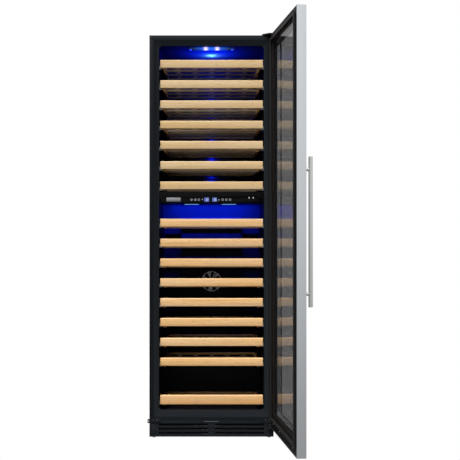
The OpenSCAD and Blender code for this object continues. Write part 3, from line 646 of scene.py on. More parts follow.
def scatter_tree():
    """Puts an object on every vertex, its Z axis along the vertex's own facing vector."""
    tree, source, out = new_tree("place_on_points", [
        ("Piece", "NodeSocketObject"), ("Material", "NodeSocketMaterial")])
    info = tree.nodes.new("GeometryNodeObjectInfo")
    facing = new_node(tree, "GeometryNodeInputNamedAttribute", [("Name", "facing")])
    facing.data_type = "FLOAT_VECTOR"
    align = tree.nodes.new("FunctionNodeAlignRotationToVector")
    align.axis = "Z"
    place = tree.nodes.new("GeometryNodeInstanceOnPoints")
    wire(tree, (source.outputs["Piece"], info.inputs["Object"]),
         (source.outputs["Geometry"], place.inputs["Points"]),
         (info.outputs["Geometry"], place.inputs["Instance"]),
         (facing.outputs["Attribute"], align.inputs["Vector"]),
         (align.outputs["Rotation"], place.inputs["Rotation"]))
    return finish_tree(tree, source, place.outputs["Instances"], out)


TREES = {}


def grown(ob, kind, **values):
    """Runs a geometry tree on the object with the named inputs, and keeps the result."""
    if kind not in TREES:
        TREES[kind] = {"row": row_tree, "ring": ring_tree, "scatter": scatter_tree}[kind]()
    tree = TREES[kind]
    modifier = ob.modifiers.new("grow", "NODES")
    modifier.node_group = tree
    for item in tree.interface.items_tree:
        if item.item_type == "SOCKET" and item.in_out == "INPUT" and item.name in values:
            modifier[item.identifier] = values[item.name]
    return settled(ob)


def row(name, bm, material, *steps):
    """Repeats a small shape along one or two directions; a step is (count, (x, y, z))."""
    ob = from_bmesh(name, bm, material)
    for count, step in steps:
        ob = grown(ob, "row", Count=count, Step=step, Material=material)
    return ob


def joined(name, *obs):
    """Joins pieces into the first one."""
    slots, bm = [], bmesh.new()
    for ob in obs:
        base = len(slots)
        slots += [m for m in ob.data.materials]
        start = len(bm.faces)
        bm.from_mesh(ob.data)
        bm.faces.ensure_lookup_table()
        for f in bm.faces[start:]:
            f.material_index += base
    mesh = bpy.data.meshes.new(name)
    bm.to_mesh(mesh)
    bm.free()
    for ob in obs:
        bpy.data.objects.remove(ob)
    return linked(name, mesh, *slots)


# ---- Placing pieces ----


def put(ob, body, slot, *nodes):
    """Rides the piece on its body, in place of the CAD nodes it stands for."""
    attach(ob, body)
    if nodes:
        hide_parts(*nodes)
    return ob


def painted(node, *materials):
    """Gives a CAD node that stays its finish."""
    mesh = frame["nodes"][node].data
    mesh.materials.clear()
    for material in materials:
        mesh.materials.append(material)


def dressed(node, name, width, material, slot, segments=2):
    """A CAD node of the cabinet with rounded edges, as a finished piece."""
    return put(softened(name, merged(node), width, material, segments=segments), "cabinet", slot, node)


def open_door():
    """The matrix that takes the closed door to where it stands open at rest."""
    pivot = Vector(DOOR_JOINT["pos_m"])
    turn = Matrix.Rotation(-math.radians(DOOR_JOINT["range_deg"][0]), 4, "Z")
    return Matrix.Translation(pivot) @ turn @ Matrix.Translation(-pivot)


def at_side(low, high):
    """Whether a part of a shelf lies at its left or right side."""
    return abs(low.x + high.x) / 2 > 0.15


def closed_box(node):
    """The corners of a door node as if the door were closed."""
    back = open_door().inverted()
    return span([back @ v.co for v in frame["nodes"][node].data.vertices])


FINISHES = {}


def finishes():
    """The finishes, made once."""
    if not FINISHES:
        FINISHES.update(make_finishes(bpy.context.scene.cooler_colours))
    return FINISHES


def aimed(light, place, way):
    """A lamp at a place that faces a given way."""
    ob = bpy.data.objects.new(light.name, light)
    ob.location = place
    ob.rotation_euler = Vector(way).to_track_quat("-Z", "Y").to_euler()
    bpy.context.scene.collection.objects.link(ob)
    return ob


# ---- Operators ----


class COOLER_OT_stage(bpy.types.Operator):
    """Sets the camera, the pale floor and the soft studio light"""

    bl_idname = "cooler.stage"
    bl_label = "Stage"

    def execute(self, context):
        scene = context.scene
        view = scene.cooler_view
        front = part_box("front_frame")[0].y
        camera = bpy.data.cameras.new("camera")
        camera.lens, camera.clip_end = view.lens, 50
        camera.shift_x, camera.shift_y = view.shift_x, view.shift_y
        eye = bpy.data.objects.new("camera", camera)
        eye.location = (0, front - view.distance, view.eye)
        eye.rotation_euler = (math.radians(90), 0, 0)
        scene.collection.objects.link(eye)
        scene.camera = eye
        scene.view_settings.view_transform = "Standard"
        self.sky(scene)
        self.floor()
        self.sun(view.key_light)
        return {"FINISHED"}

    def floor(self):
        """A wide white floor, kept out of reflections, which see the graded sky alone."""
        half = 6.0
        corners = [(x * half, y * half, 0) for x, y in ((-1, -1), (1, -1), (1, 1), (-1, 1))]
        mesh = bpy.data.meshes.new("floor")
        mesh.from_pydata(corners, [], [range(4)])
        white = Finish("floor_white", (0, 0, 0), 1.0, specular=0.0).glow((1, 1, 1), 1.0).material
        ob = linked("floor", mesh, white)
        ob.visible_glossy = ob.visible_diffuse = ob.visible_shadow = False

    def sun(self, strength):
        """A broad light from high in front, so that each shelf front shades what lies behind it."""
        light = bpy.data.lights.new("key_light", "SUN")
        light.energy, light.angle = strength, math.radians(24)
        aimed(light, (0, 0, 0), (0.22, 0.7, -1.3))

    def sky(self, scene):
        """White to the eye, graded from top to bottom in reflections, and dim for soft light."""
        world = bpy.data.worlds.new("studio")
        scene.world = world
        world.use_nodes = True
        tree = world.node_tree
        where = tree.nodes.new("ShaderNodeTexCoord").outputs["Generated"]
        split = tree.nodes.new("ShaderNodeSeparateXYZ")
        wire(tree, (where, split.inputs[0]))
        path = tree.nodes.new("ShaderNodeLightPath")
        soft = self.gradient(tree, split.outputs["Z"], (-0.1, 0.03), (0.6, 0.36))
        mirror = self.gradient(tree, split.outputs["Z"], (-0.25, 0.29), (0.08, 0.89))
        plain = self.gradient(tree, split.outputs["Z"], (0, 1), (1, 1))
        seen = soft
        for choice, other in (("Is Glossy Ray", mirror), ("Is Camera Ray", plain)):
            mix = tree.nodes.new("ShaderNodeMixShader")
            wire(tree, (path.outputs[choice], mix.inputs[0]), (seen, mix.inputs[1]), (other, mix.inputs[2]))
            seen = mix.outputs[0]
        wire(tree, (seen, tree.nodes["World Output"].inputs["Surface"]))

    def gradient(self, tree, height, low, high):
        """A background whose strength rises smoothly between two (height, strength) points."""
        values = [("From Min", low[0]), ("From Max", high[0]), ("To Min", low[1]), ("To Max", high[1])]
        ramp = new_node(tree, "ShaderNodeMapRange", values)
        ramp.interpolation_type = "SMOOTHSTEP"
        back = new_node(tree, "ShaderNodeBackground", [("Color", (1, 1, 1, 1))])
        wire(tree, (height, ramp.inputs["Value"]), (ramp.outputs["Result"], back.inputs["Strength"]))
        return back.outputs[0]


class COOLER_OT_case(bpy.types.Operator):
    """Makes the case, its frame, back, liners and toe kick"""

    bl_idname = "cooler.case"
    bl_label = "Case"

    def execute(self, context):
        f, s = finishes(), context.scene.cooler_sizes
        dressed("outer_case", "case_wrap", s.case_edge * 0.45, f["case"], "case_black")
        dressed("front_frame", "case_front_frame", s.sheet_edge, f["case"], "case_black")
        dressed("toe_kick_grille", "toe_kick", s.sheet_edge * 1.8, f["grille"], "grille_black")
        dressed("niche_lugs", "fixing_lugs", s.sheet_edge * 0.6, f["case"], "case_black")
        dressed("air_ducts", "air_duct_housings", s.sheet_edge * 0.5, f["liner"], "liner_black")
        for node, finish in (("base_plate", "zinc"), ("insulation_foam", "foam"), ("upper_liner", "liner"),
                             ("lower_liner", "liner")):
            painted(node, f[finish])
        self.louvres(f, s)
        self.lip(f)
        self.air_path(f)
        self.back(f, s)
        return {"FINISHED"}

    def louvres(self, f, s):
        """Sloping blades behind the slots of the toe kick."""
        low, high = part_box("toe_kick_grille")
        pillar, lap, gap = 0.034, 0.002, 0.0008
        blade_h, blade_t, blades, pitch, first = 0.016, 0.0012, 3, 0.020, low.z + 0.012
        width = (high.x - low.x) / 2 - pillar * 1.5 + 2 * lap
        for side, start in (("left", low.x + pillar - lap), ("right", pillar / 2 - lap)):
            bm = bmesh.new()
            rounded_box(bm, (0, 0, -blade_t / 2), (width, blade_h, blade_t / 2), blade_t * 0.4, 1)
            tilt = Matrix.Rotation(s.louvre_tilt, 4, "X")
            place = Matrix.Translation((start, high.y + gap, first))
            bmesh.ops.transform(bm, matrix=place @ tilt, verts=bm.verts)
            ob = row(f"toe_kick_blades_{side}", bm, f["grille"], (blades, (0, 0, pitch)))
            put(ob, "cabinet", "grille_black")

    def air_path(self, f):
        """Dark boards on the foam at both sides of the air path under the cavity."""
        liner_low, liner_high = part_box("lower_liner")
        low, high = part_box("toe_kick_grille")
        board, rear = 0.001, 0.05
        bm = bmesh.new()
        for x in (liner_low.x + board * 1.2, liner_high.x - board * 2.2):
            rounded_box(bm, (x, high.y + 0.0012, low.z + 0.0005), (x + board, rear, high.z + 0.0025), 0)
        put(from_bmesh("air_path_boards", bm, f["dark"]), "cabinet", "grille_black")

    def lip(self, f):
        """The thin rolled lip where the toe kick meets the frame, with its middle tab and the tab's fold."""
        low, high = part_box("toe_kick_grille")
        lip = (-0.13, 0.105, 0.0012, -0.0012, 0.0006, 0.0005, 0)
        tab = (-0.038, 0.036, 0.0016, -0.005, -0.0014, 0.0006, 0)
        # the fold takes the lighter grey, slot 1
        fold = (-0.036, 0.034, 0.0020, -0.0016, 0.0012, 0.0008, 1)
        bm = bmesh.new()
        for left, right, proud, bottom, top, radius, slot in (lip, tab, fold):
            rounded_box(bm, (left, low.y - proud, high.z + bottom),
                        (right, low.y + 0.0005, high.z + top), radius, slot=slot)
        put(from_bmesh("toe_kick_lip", bm, f["grille"], f["fold_grey"]), "cabinet", "grille_black")

    def back(self, f, s):
        """The back sheet with pressed ribs, and the rear cover with a hood over each slot."""
        dressed("back_panel", "back_sheet", s.sheet_edge * 0.5, f["case"], "case_black")
        low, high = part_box("back_panel")
        bm = bmesh.new()
        rib_w, rib_t, margin, ribs = 0.018, 0.0016, 0.06, 5
        rounded_box(bm, (low.x + margin, high.y - 0.0004, low.z + margin),
                    (low.x + margin + rib_w, high.y + rib_t, high.z - margin), rib_t * 0.9, 3)
        step = (high.x - low.x - 2 * margin - rib_w) / (ribs - 1)
        put(row("back_ribs", bm, f["case"], (ribs, (step, 0, 0))), "cabinet", "case_black")
        dressed("compartment_cover", "rear_cover", s.sheet_edge * 0.4, f["zinc"], "zinc_sheet", segments=1)
        cover_low, cover_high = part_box("compartment_cover")
        left, first, slot_w, columns, rows, across, rise = -0.220, 0.048, 0.028, 10, 9, 0.040, 0.024
        origin = (left, cover_high.y - 0.0002, cover_low.z + first)
        bm = bmesh.new()
        extruded(bm, arc(0, 0, 0.0019, 0, 180, 5), slot_w, origin, "cba")
        hoods = row("rear_cover_hoods", bm, f["zinc"], (columns, (across, 0, 0)), (rows, (0, 0, rise)))
        put(hoods, "cabinet", "zinc_sheet")


class COOLER_OT_hinges(bpy.types.Operator):
    """Makes the hinge plates with their pins, and every screw"""

    bl_idname = "cooler.hinges"
    bl_label = "Hinges and screws"

    def execute(self, context):
        f, s = finishes(), context.scene.cooler_sizes
        dressed("top_hinge", "top_hinge_plate", s.sheet_edge, f["case"], "zinc_sheet")
        dressed("bottom_hinge", "bottom_hinge_bracket", s.sheet_edge, f["case"], "zinc_sheet")
        self.screws(f)
        return {"FINISHED"}

    def screws(self, f):
        """Pan heads with a cross recess, one on each screw of the frame."""
        radius, height, arm, half_slot, recess = 0.0042, 0.0022, 0.0022, 0.0005, 0.0009
        dome = [(r, z * height / radius) for r, z in arc(0, 0, radius, 12, 90, 6)[:-1]]
        bm = bmesh.new()
        turned(bm, [(0, 0), (radius, 0), *dome, (0, height)], (0, 0, 0), (0, 0, 1), 24)
        head = from_bmesh("screw_head", bm, f["black_zinc"])
        bm = bmesh.new()
        for turn in (0, 90):
            verts = rounded_box(bm, (-arm, -half_slot, height - recess), (arm, half_slot, height + 0.001), 0)
            bmesh.ops.rotate(bm, verts=verts, matrix=Matrix.Rotation(math.radians(turn), 3, "Z"))
        cross = from_bmesh("screw_cross", bm, f["black_zinc"])
        cut = head.modifiers.new("cross", "BOOLEAN")
        cut.operation = "DIFFERENCE"
        cut.object = cross
        cut.solver = "EXACT"
        cut.use_self = True
        settled(head)
        bpy.data.objects.remove(cross)
        mesh = bpy.data.meshes.new("cabinet_screw_heads")
        points, ways = [], []
        top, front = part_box("outer_case")[1].z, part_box("front_frame")[0].y
        for low, high in parts_of("cabinet_screws"):
            middle = (low + high) / 2
            if high.z > top:
                point, way = (middle.x, middle.y, high.z - height), (0, 0, 1)
            elif middle.y < front + 0.01:
                point, way = (middle.x, low.y + height, middle.z), (0, -1, 0)
            else:
                point, way = (middle.x, high.y - height, middle.z), (0, 1, 0)
            points.append(point)
            ways.append(way)
        mesh.from_pydata(points, [], [])
        layer = mesh.attributes.new("facing", "FLOAT_VECTOR", "POINT")
        layer.data.foreach_set("vector", [x for way in ways for x in way])
        ob = linked("cabinet_screw_heads", mesh, f["black_zinc"])
        grown(ob, "scatter", Piece=head, Material=f["black_zinc"])
        bpy.data.objects.remove(head)
        put(ob, "cabinet", "zinc_sheet", "cabinet_screws")


class COOLER_OT_door(bpy.types.Operator):
    """Makes the door: steel frame, inner frame, glass, gasket and handle"""

    bl_idname = "cooler.door"
    bl_label = "Door"

    def execute(self, context):
        f, s = finishes(), context.scene.cooler_sizes
        low, high = closed_box("door_frame")
        inner_low, inner_high = closed_box("inner_glass")
        outer = (low.x, high.x, low.z, high.z)
        clear = self.widened((inner_low.x, inner_high.x, inner_low.z, inner_high.z), -0.022)
        borders = tuple(abs(a - b) for a, b in zip(clear, outer))
        self.steel(f, s, outer, borders, low.y, high.y)
        self.inner(f, outer, borders, inner_high.y, high.y)
        self.gasket(f)
        self.enamel(f, clear)
        self.seal(f, clear)
        self.handle(f)
        for node in ("outer_glass", "inner_glass"):
            painted(node, f["glass"])
        painted("glass_spacer", f["spacer"])
        return {"FINISHED"}

    def place(self, ob, slot, *nodes):
        """Opens a piece that was drawn closed and puts it on the door."""
        ob.data.transform(open_door())
        return put(ob, "door", slot, *nodes)

    def widened(self, rectangle, by):
        """A rectangle (x0, x1, z0, z1) moved out by a distance on every side."""
        return tuple(value + way * by for value, way in zip(rectangle, (-1, 1, -1, 1)))

    def ring(self, name, outer, profile, finish, slot, *nodes, borders=NO_BORDER):
        """A piece of the door with one profile all round."""
        bm = bmesh.new()
        swept_ring(bm, outer, borders, profile)
        self.place(from_bmesh(name, bm, finish), slot, *nodes)

    def steel(self, f, s, outer, borders, y0, y1):
        """A folded steel skin: rounded outer corner, flat face and a lip round the glass."""
        r, t, lip = s.steel_edge, 0.002, 0.003
        profile = [(0, t, y1), (0, 0.0004, y1), (0, 0, y1 - 0.0006)]
        profile += [(0, x, y) for x, y in arc(r, y0 + r, r, 180, 270, 5)]
        profile += [(1, -0.0012, y0), (1, -0.0003, y0 + 0.0004), (1, 0, y0 + 0.0012), (1, 0, y0 + t + 0.0006)]
        profile += [(1, -lip, y0 + t), (0, t + 0.001, y0 + t), (0, t, y0 + t + 0.001)]
        self.ring("door_steel_frame", outer, profile, f["steel"], "door_steel", "door_frame", borders=borders)

    def inner(self, f, outer, borders, y0, y1):
        """The moulded inner frame: a rim, a channel for the gasket and a bead against the glass."""
        edge, groove = closed_box("door_gasket")[0].x - outer[0], 0.012
        profile = [(0, 0.0021, y0 - 0.02), (0, 0.0021, y1 - 0.0012), (0, 0.0033, y1)]
        profile += [(0, edge - 0.004, y1), (0, edge - 0.002, y1 - 0.0014), (0, edge - 0.0004, y1 - 0.0016)]
        profile += [(0, edge + groove + 0.0004, y1 - 0.0016), (0, edge + groove + 0.002, y1 - 0.0014)]
        profile += [(0, edge + groove + 0.004, y1), (1, -0.006, y1), (1, -0.0022, y1 - 0.0007)]
        profile += [(1, -0.0005, y1 - 0.0019), (1, 0, y1 - 0.003), (1, 0, y0 + 0.0001)]
        profile += [(1, -0.01, y0 + 0.0001), (1, -0.01, y0 - 0.002)]
        profile += [(1, -0.0221, y0 - 0.002), (1, -0.0221, y0 - 0.02)]
        bm = bmesh.new()
        swept_ring(bm, outer, borders, profile)
        screw = [(0.0038, -0.001), (0.0038, 0), (0.0036, 0.0010), (0.0024, 0.0017), (0, 0.0019)]
        for x in (outer[0] + 0.07, 0.076, outer[1] - 0.07):
            turned(bm, screw, (x, y1, outer[2] + 0.030), (0, 1, 0), 20, slot=1)
        frame_piece = from_bmesh("door_inner_frame", bm, f["backframe"], f["zinc"])
        self.place(frame_piece, "liner_black", "door_backframe")

    def gasket(self, f):
        """A magnetic gasket with a folded bellows on each side."""
        low, high = closed_box("door_gasket")
        w, y0, y1 = 0.012, low.y, high.y
        d = y1 - y0
        outline = [(0.10, 0), (0.90, 0), (0.92, 0.14), (0.80, 0.24), (0.86, 0.36), (0.98, 0.50), (1.0, 0.62)]
        outline += [(1.0, 0.88), (0.94, 1.0), (0.06, 1.0), (0, 0.88), (0, 0.62), (0.02, 0.50), (0.14, 0.36)]
        outline += [(0.20, 0.24), (0.08, 0.14)]
        profile = [(0, a * w, y0 + b * d) for a, b in outline]
        outer = (low.x, high.x, low.z, high.z)
        self.ring("door_magnetic_gasket", outer, profile, f["rubber"], "gasket_rubber", "door_gasket")

    def enamel(self, f, clear):
        """The black enamel edge on the inner pane, just inside its frame."""
        y, width = closed_box("inner_glass")[1].y, 0.026
        profile = [(0, a, y + b) for a, b in ((0, 0.00002), (width, 0.00002), (width, 0.0002), (0, 0.0002))]
        self.ring("glass_enamel_edge", self.widened(clear, 0.02), profile, f["frit"], "liner_black")

    def seal(self, f, clear):
        """The light strip on the seal beside the outer pane, painted light: it stands for the bright backdrop
        seen through the glass where the steel lip lies in shade; and the black band round the spacer by the
        inner pane.
        """
        front, back = closed_box("outer_glass")[1].y, closed_box("inner_glass")[0].y
        lap, skin, band = 0.01, 0.0002, 0.011
        # the light strip is painted light over the shaded lip
        seal = ("glass_edge_seal", (skin, lap, front + skin, front + 2 * skin), f["seal"])
        sleeve = ("spacer_band", (skin, 2 * skin, back - band, back - skin), f["frit"])
        for name, (a0, a1, y0, y1), finish in (seal, sleeve):
            profile = [(0, a0, y0), (0, a1, y0), (0, a1, y1), (0, a0, y1)]
            self.ring(name, self.widened(clear, lap), profile, finish, "liner_black")

    def handle(self, f):
        """A tube with chamfered end caps on two posts with collars."""
        low, high = closed_box("handle_bar")
        r = (high.x - low.x) / 2
        x, y, l = (low.x + high.x) / 2, (low.y + high.y) / 2, high.z - low.z
        c, g = 0.0012, 0.0008
        end = [(0, 0), (r - 0.0022, 0), (r - 0.0018, 0.0003), (r - 0.0018, g), (r - c, g), (r, g + c)]
        profile = end + [(a, l - b) for a, b in reversed(end)]
        bm = bmesh.new()
        turned(bm, profile, (x, y, low.z), (0, 0, 1), 64)
        self.place(from_bmesh("handle_tube", bm, f["handle"], crease=30), "handle_steel", "handle_bar")
        face = closed_box("door_frame")[0].y
        bm = bmesh.new()
        for post_low, post_high in self.posts():
            z, pr = (post_low.z + post_high.z) / 2, (post_high.z - post_low.z) / 2
            reach = face - y - r * 0.8
            shape = [(pr + 0.0015, 0), (pr + 0.0015, 0.0022), (pr + 0.0006, 0.003), (pr, 0.0034), (pr, reach)]
            turned(bm, shape, (x, face, z), (0, -1, 0), 40)
        self.place(from_bmesh("handle_standoffs", bm, f["handle"]), "handle_steel", "handle_posts")

    def posts(self):
        """The boxes of the two posts, lower first, as if the door were closed."""
        back = open_door().inverted()
        boxes = sorted(parts_of("handle_posts"), key=lambda b: b[0].z)
        return [span([back @ Vector(corner) for corner in product(*zip(*box))]) for box in boxes]


class COOLER_OT_shelves(bpy.types.Operator):
    """Makes the wooden shelves with their runners, and the fixed slides"""

    bl_idname = "cooler.shelves"
    bl_label = "Shelves"

    def execute(self, context):
        f, s = finishes(), context.scene.cooler_sizes
        draw = random.Random(context.scene.cooler_view.seed)
        patterns = {}
        for node in SHELVES:
            parts = parts_of(node)
            fascia = max(parts, key=lambda b: b[1].z)
            kind = (len(parts), round((fascia[1].z - fascia[0].z) * 1000))
            base = fascia[0].z
            if kind not in patterns:
                patterns[kind] = (self.wood(parts, f, s), self.runners(parts, f, s), base)
            wood, runners, drawn_at = patterns[kind]
            lift = Matrix.Translation((0, 0, base - drawn_at))
            shift = Vector((draw.uniform(0, 40), draw.uniform(0, 9), draw.uniform(0, 9)))
            number = node[-2:]
            top = self.copied(wood, f"shelf_wood_{number}", lift, shift)
            put(top, node, "beech_wood", node)
            put(self.copied(runners, f"shelf_runners_{number}", lift), node, "zinc_sheet")
        for wood, runners, _ in patterns.values():
            bpy.data.objects.remove(wood)
            bpy.data.objects.remove(runners)
        painted("slide_rails", f["runner"])
        return {"FINISHED"}

    def copied(self, source, name, lift, shift=None):
        """A copy of a shelf's piece at its own height, with its own stretch of grain."""
        mesh = source.data.copy()
        mesh.transform(lift)
        if shift:
            layer = mesh.attributes["grain"]
            values = [0.0] * (3 * len(mesh.vertices))
            layer.data.foreach_get("vector", values)
            layer.data.foreach_set("vector", [v + shift[i % 3] for i, v in enumerate(values)])
        return linked(name, mesh, *list(mesh.materials))

    def wood(self, parts, f, s):
        """Front, side rails, rear rail and scalloped slats."""
        fascia = max(parts, key=lambda b: b[1].z)
        bm = wooden()
        grained(bm, self.front(bm, *fascia, s.wood_edge), "X")
        slats = []
        for low, high in parts:
            size = high - low
            if (low, high) == fascia or at_side(low, high) and size.z < 0.0145 and size.x > RAIL_WIDTH:
                continue
            if at_side(low, high):
                grained(bm, rounded_box(bm, low, high, s.slat_edge), "Y", (low.x, 3, 0))
            elif size.z > 0.016:
                slats.append((low, high))
            else:
                grained(bm, rounded_box(bm, low, high, s.slat_edge), "X", (1, 2, 5))
        slats.sort(key=lambda b: b[0].y)
        ob = from_bmesh("shelf_wood", bm, f["beech"])
        bm = wooden()
        grained(bm, self.slat(bm, *slats[0]), "X", (4, 1, 3))
        # the slats take the darkened beech: painted shade under the shelf front
        slat = softened("slats", bm, s.slat_edge * 0.6, f["slat"])
        step = (0, slats[1][0].y - slats[0][0].y, 0)
        slat = grown(slat, "row", Count=len(slats), Step=step, Material=f["slat"])
        return joined("shelf_wood", ob, slat)

    def front(self, bm, low, high, r):
        """The shelf front: rounded edges and a shallow finger groove behind its top."""
        depth, rise = high.y - low.y, high.z - low.z
        outline = arc(r, r, r, 180, 270, 4) + [(depth - 0.001, 0), (depth, 0.001)]
        outline += [(depth, rise * 0.55), (depth - 0.003, rise * 0.62), (depth - 0.003, rise * 0.8)]
        outline += [(depth, rise * 0.88), (depth, rise - 0.001), (depth - 0.001, rise)]
        outline += arc(r, rise - r, r, 90, 180, 4)
        end = 0.0008
        verts = extruded(bm, outline, high.x - low.x - 2 * end, (low.x + end, low.y, low.z), ALONG_X)
        small = [(a + (depth / 2 - a) * 0.04, b + (rise / 2 - b) * 0.03) for a, b in outline]
        for x, way in ((low.x, 1), (high.x, -1)):
            verts += extruded(bm, small, way * end, (x, low.y, low.z), ALONG_X)
        return verts

    def slat(self, bm, low, high):
        """A slat whose top dips under each bottle and rises to a soft ridge between them."""
        ridge, width, bottles, steps = 0.012, 0.024, 6, 96
        base, long = high.z - low.z - ridge, high.x - low.x
        front_low, front_high = max(parts_of(SHELVES[0]), key=lambda b: b[1].z - b[0].z)
        pitch = (front_high.x - front_low.x) / bottles
        outline = [(0.0, 0.0), (long, 0.0)]
        for i in range(steps + 1):
            x = high.x - long * i / steps
            nearest = round(x / pitch) * pitch
            away = abs(x - nearest) / (width * 0.62)
            bump = 0.5 + 0.5 * math.cos(math.pi * min(1.0, away))
            on_ridge = abs(nearest) < pitch * (bottles / 2 - 0.5)
            outline.append((x - low.x, base + (ridge * 0.94 * bump if on_ridge else 0.0)))
        return extruded(bm, outline, high.y - low.y, low, ALONG_Y)

    def runners(self, parts, f, s):
        """The moving slide members, grooved along their sides, with their balls."""
        bm = bmesh.new()
        sides = [(lo, hi) for lo, hi in parts
                 if at_side(lo, hi) and hi.x - lo.x > RAIL_WIDTH and hi.y - lo.y > 0.1]
        for low, high in sides:
            w, h = high.x - low.x, high.z - low.z
            g = 0.0016
            outline = [(0, 0.001), (0.001, 0), (w - 0.001, 0), (w, 0.001), (w, h * 0.3), (w - g, h * 0.42)]
            outline += [(w - g, h * 0.58), (w, h * 0.7), (w, h - 0.001), (w - 0.001, h), (0.001, h)]
            outline += [(0, h - 0.001), (0, h * 0.7), (g, h * 0.58), (g, h * 0.42), (0, h * 0.3)]
            extruded(bm, outline, high.y - low.y, low, ALONG_Y)
        body = from_bmesh("shelf_runners", bm, f["runner"])
        bm = bmesh.new()
        inset, pitch = 0.0004, 0.02
        low, high = sides[0]
        for lo, hi in sides:
            x = hi.x - inset if hi.x > 0 else lo.x + inset
            middle = Vector((x, lo.y + pitch / 2, (lo.z + hi.z) / 2))
            bmesh.ops.create_uvsphere(bm, u_segments=10, v_segments=6, radius=s.ball_radius * 0.6,
                                      matrix=Matrix.Translation(middle))
        count = int((high.y - low.y - pitch) / pitch)
        balls = row("slide_balls", bm, f["runner"], (count, (0, pitch, 0)))
        return joined("shelf_runners", body, balls)


class COOLER_OT_controls(bpy.types.Operator):
    """Makes the control panel, its lit marks and its keys"""

    bl_idname = "cooler.controls"
    bl_label = "Controls"

    def execute(self, context):
        f, s = finishes(), context.scene.cooler_sizes
        dressed("control_panel", "control_panel_face", s.sheet_edge * 0.5, f["gloss"], "panel_gloss")
        self.marks(f)
        for number, node in enumerate(KEYS):
            self.key(node, number, f, s)
        return {"FINISHED"}

    def marks(self, f):
        """Displays with digits, arrows, two icons and the blank badge."""
        bm = bmesh.new()
        screens = []
        for low, high in sorted(parts_of("display_windows"), key=lambda b: b[0].x):
            width = high.x - low.x
            if width > 0.05:
                rounded_box(bm, low - Vector((0, 0.0004, 0)), high, 0.0009, 2, slot=2)
            elif width > 0.015:
                rounded_box(bm, low, high, 0.0002, 1, slot=0)
                screens.append((low, high))
            else:
                self.icon(bm, low, high)
        for (low, high), text in zip(screens, ("12", "16")):
            self.digits(bm, low, high, text)
        ob = from_bmesh("panel_marks", bm, f["screen"], f["digit"], f["badge"], f["mark"])
        put(ob, "cabinet", "display_blue", "display_windows")

    def icon(self, bm, low, high):
        """A triangle, pointing up or down, or an oval icon."""
        x, z = (low.x + high.x) / 2, (low.z + high.z) / 2
        if abs(x) < 0.1:
            corners, wide, tall, start = 3, 0.0034, 0.0034, 90 if x < 0 else -90
        else:
            corners, wide, tall, start = 18, 0.0026, 0.0040, 0
        angles = [math.radians(start + 360 * k / corners) for k in range(corners)]
        outline = [(wide * math.cos(a), tall * math.sin(a)) for a in angles]
        extruded(bm, outline, 0.0008, (x, low.y - 0.00005, z), ALONG_Y, slot=3)

    def digits(self, bm, low, high, text):
        """Seven-segment digits on a display."""
        on = {"1": "bc", "2": "abged", "6": "afgedc"}
        w, h, t = 0.0062, 0.0120, 0.0015
        middle = (low + high) / 2
        for k, sign in enumerate(text):
            x = middle.x + (k - (len(text) - 1) / 2) * (w + 0.0030)
            bars = {name: (x, middle.z + level * h / 2, w, t)
                    for name, level in (("a", 1), ("g", 0), ("d", -1))}
            for name, side, level in (("f", -1, 1), ("b", 1, 1), ("e", -1, -1), ("c", 1, -1)):
                bars[name] = (x + side * w / 2, middle.z + level * h / 4, t, h / 2)
            for name in on[sign]:
                bx, bz, bw, bh = bars[name]
                rounded_box(bm, (bx - bw / 2, low.y - 0.0002, bz - bh / 2), (bx + bw / 2, low.y, bz + bh / 2),
                            0, slot=1)

    def key(self, node, number, f, s):
        """A dished round key with a printed ring and a small sign in it."""
        low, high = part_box(node)
        x, z = (low.x + high.x) / 2, (low.z + high.z) / 2
        r, flange, deep, front, back = 0.0055, 0.007, 0.009, -0.00004, 0.0003
        cap = [(0, 0.0003), (r * 0.6, 0.0001), (r - 0.0006, 0), (r, 0.0006), (r, deep * 0.55)]
        profile = cap + [(flange, deep * 0.55), (flange, 0.0066), (r, 0.0066), (r, deep), (0, deep)]
        bm = bmesh.new()
        turned(bm, profile, (x, low.y, z), (0, 1, 0), 36)
        outer, inner = s.ring_radius, s.ring_radius - s.ring_width
        ring = [(outer, front), (inner, front), (inner, back), (outer, back), (outer, front)]
        faces = len(bm.faces)
        turned(bm, ring, (x, low.y, z), (0, 1, 0), 36, slot=1)
        bm.faces.ensure_lookup_table()
        for face in [g for g in bm.faces[faces:] if len(g.verts) > 4]:
            bm.faces.remove(face)
        bars = {0: [(0, 0, 0.0006, 0.0034)], 1: [(0, 0, 0.0034, 0.0006)],
                2: [(0, 0, 0.0030, 0.0006), (0, 0, 0.0006, 0.0030)]}[number % 3]
        for bx, bz, bw, bh in bars:
            rounded_box(bm, (x + bx - bw / 2, low.y + front, z + bz - bh / 2),
                        (x + bx + bw / 2, low.y + back, z + bz + bh / 2), 0, slot=1)
        ob = from_bmesh(f"panel_{node}", bm, f["gloss"], f["mark"])
        put(ob, node, "key_black", node)


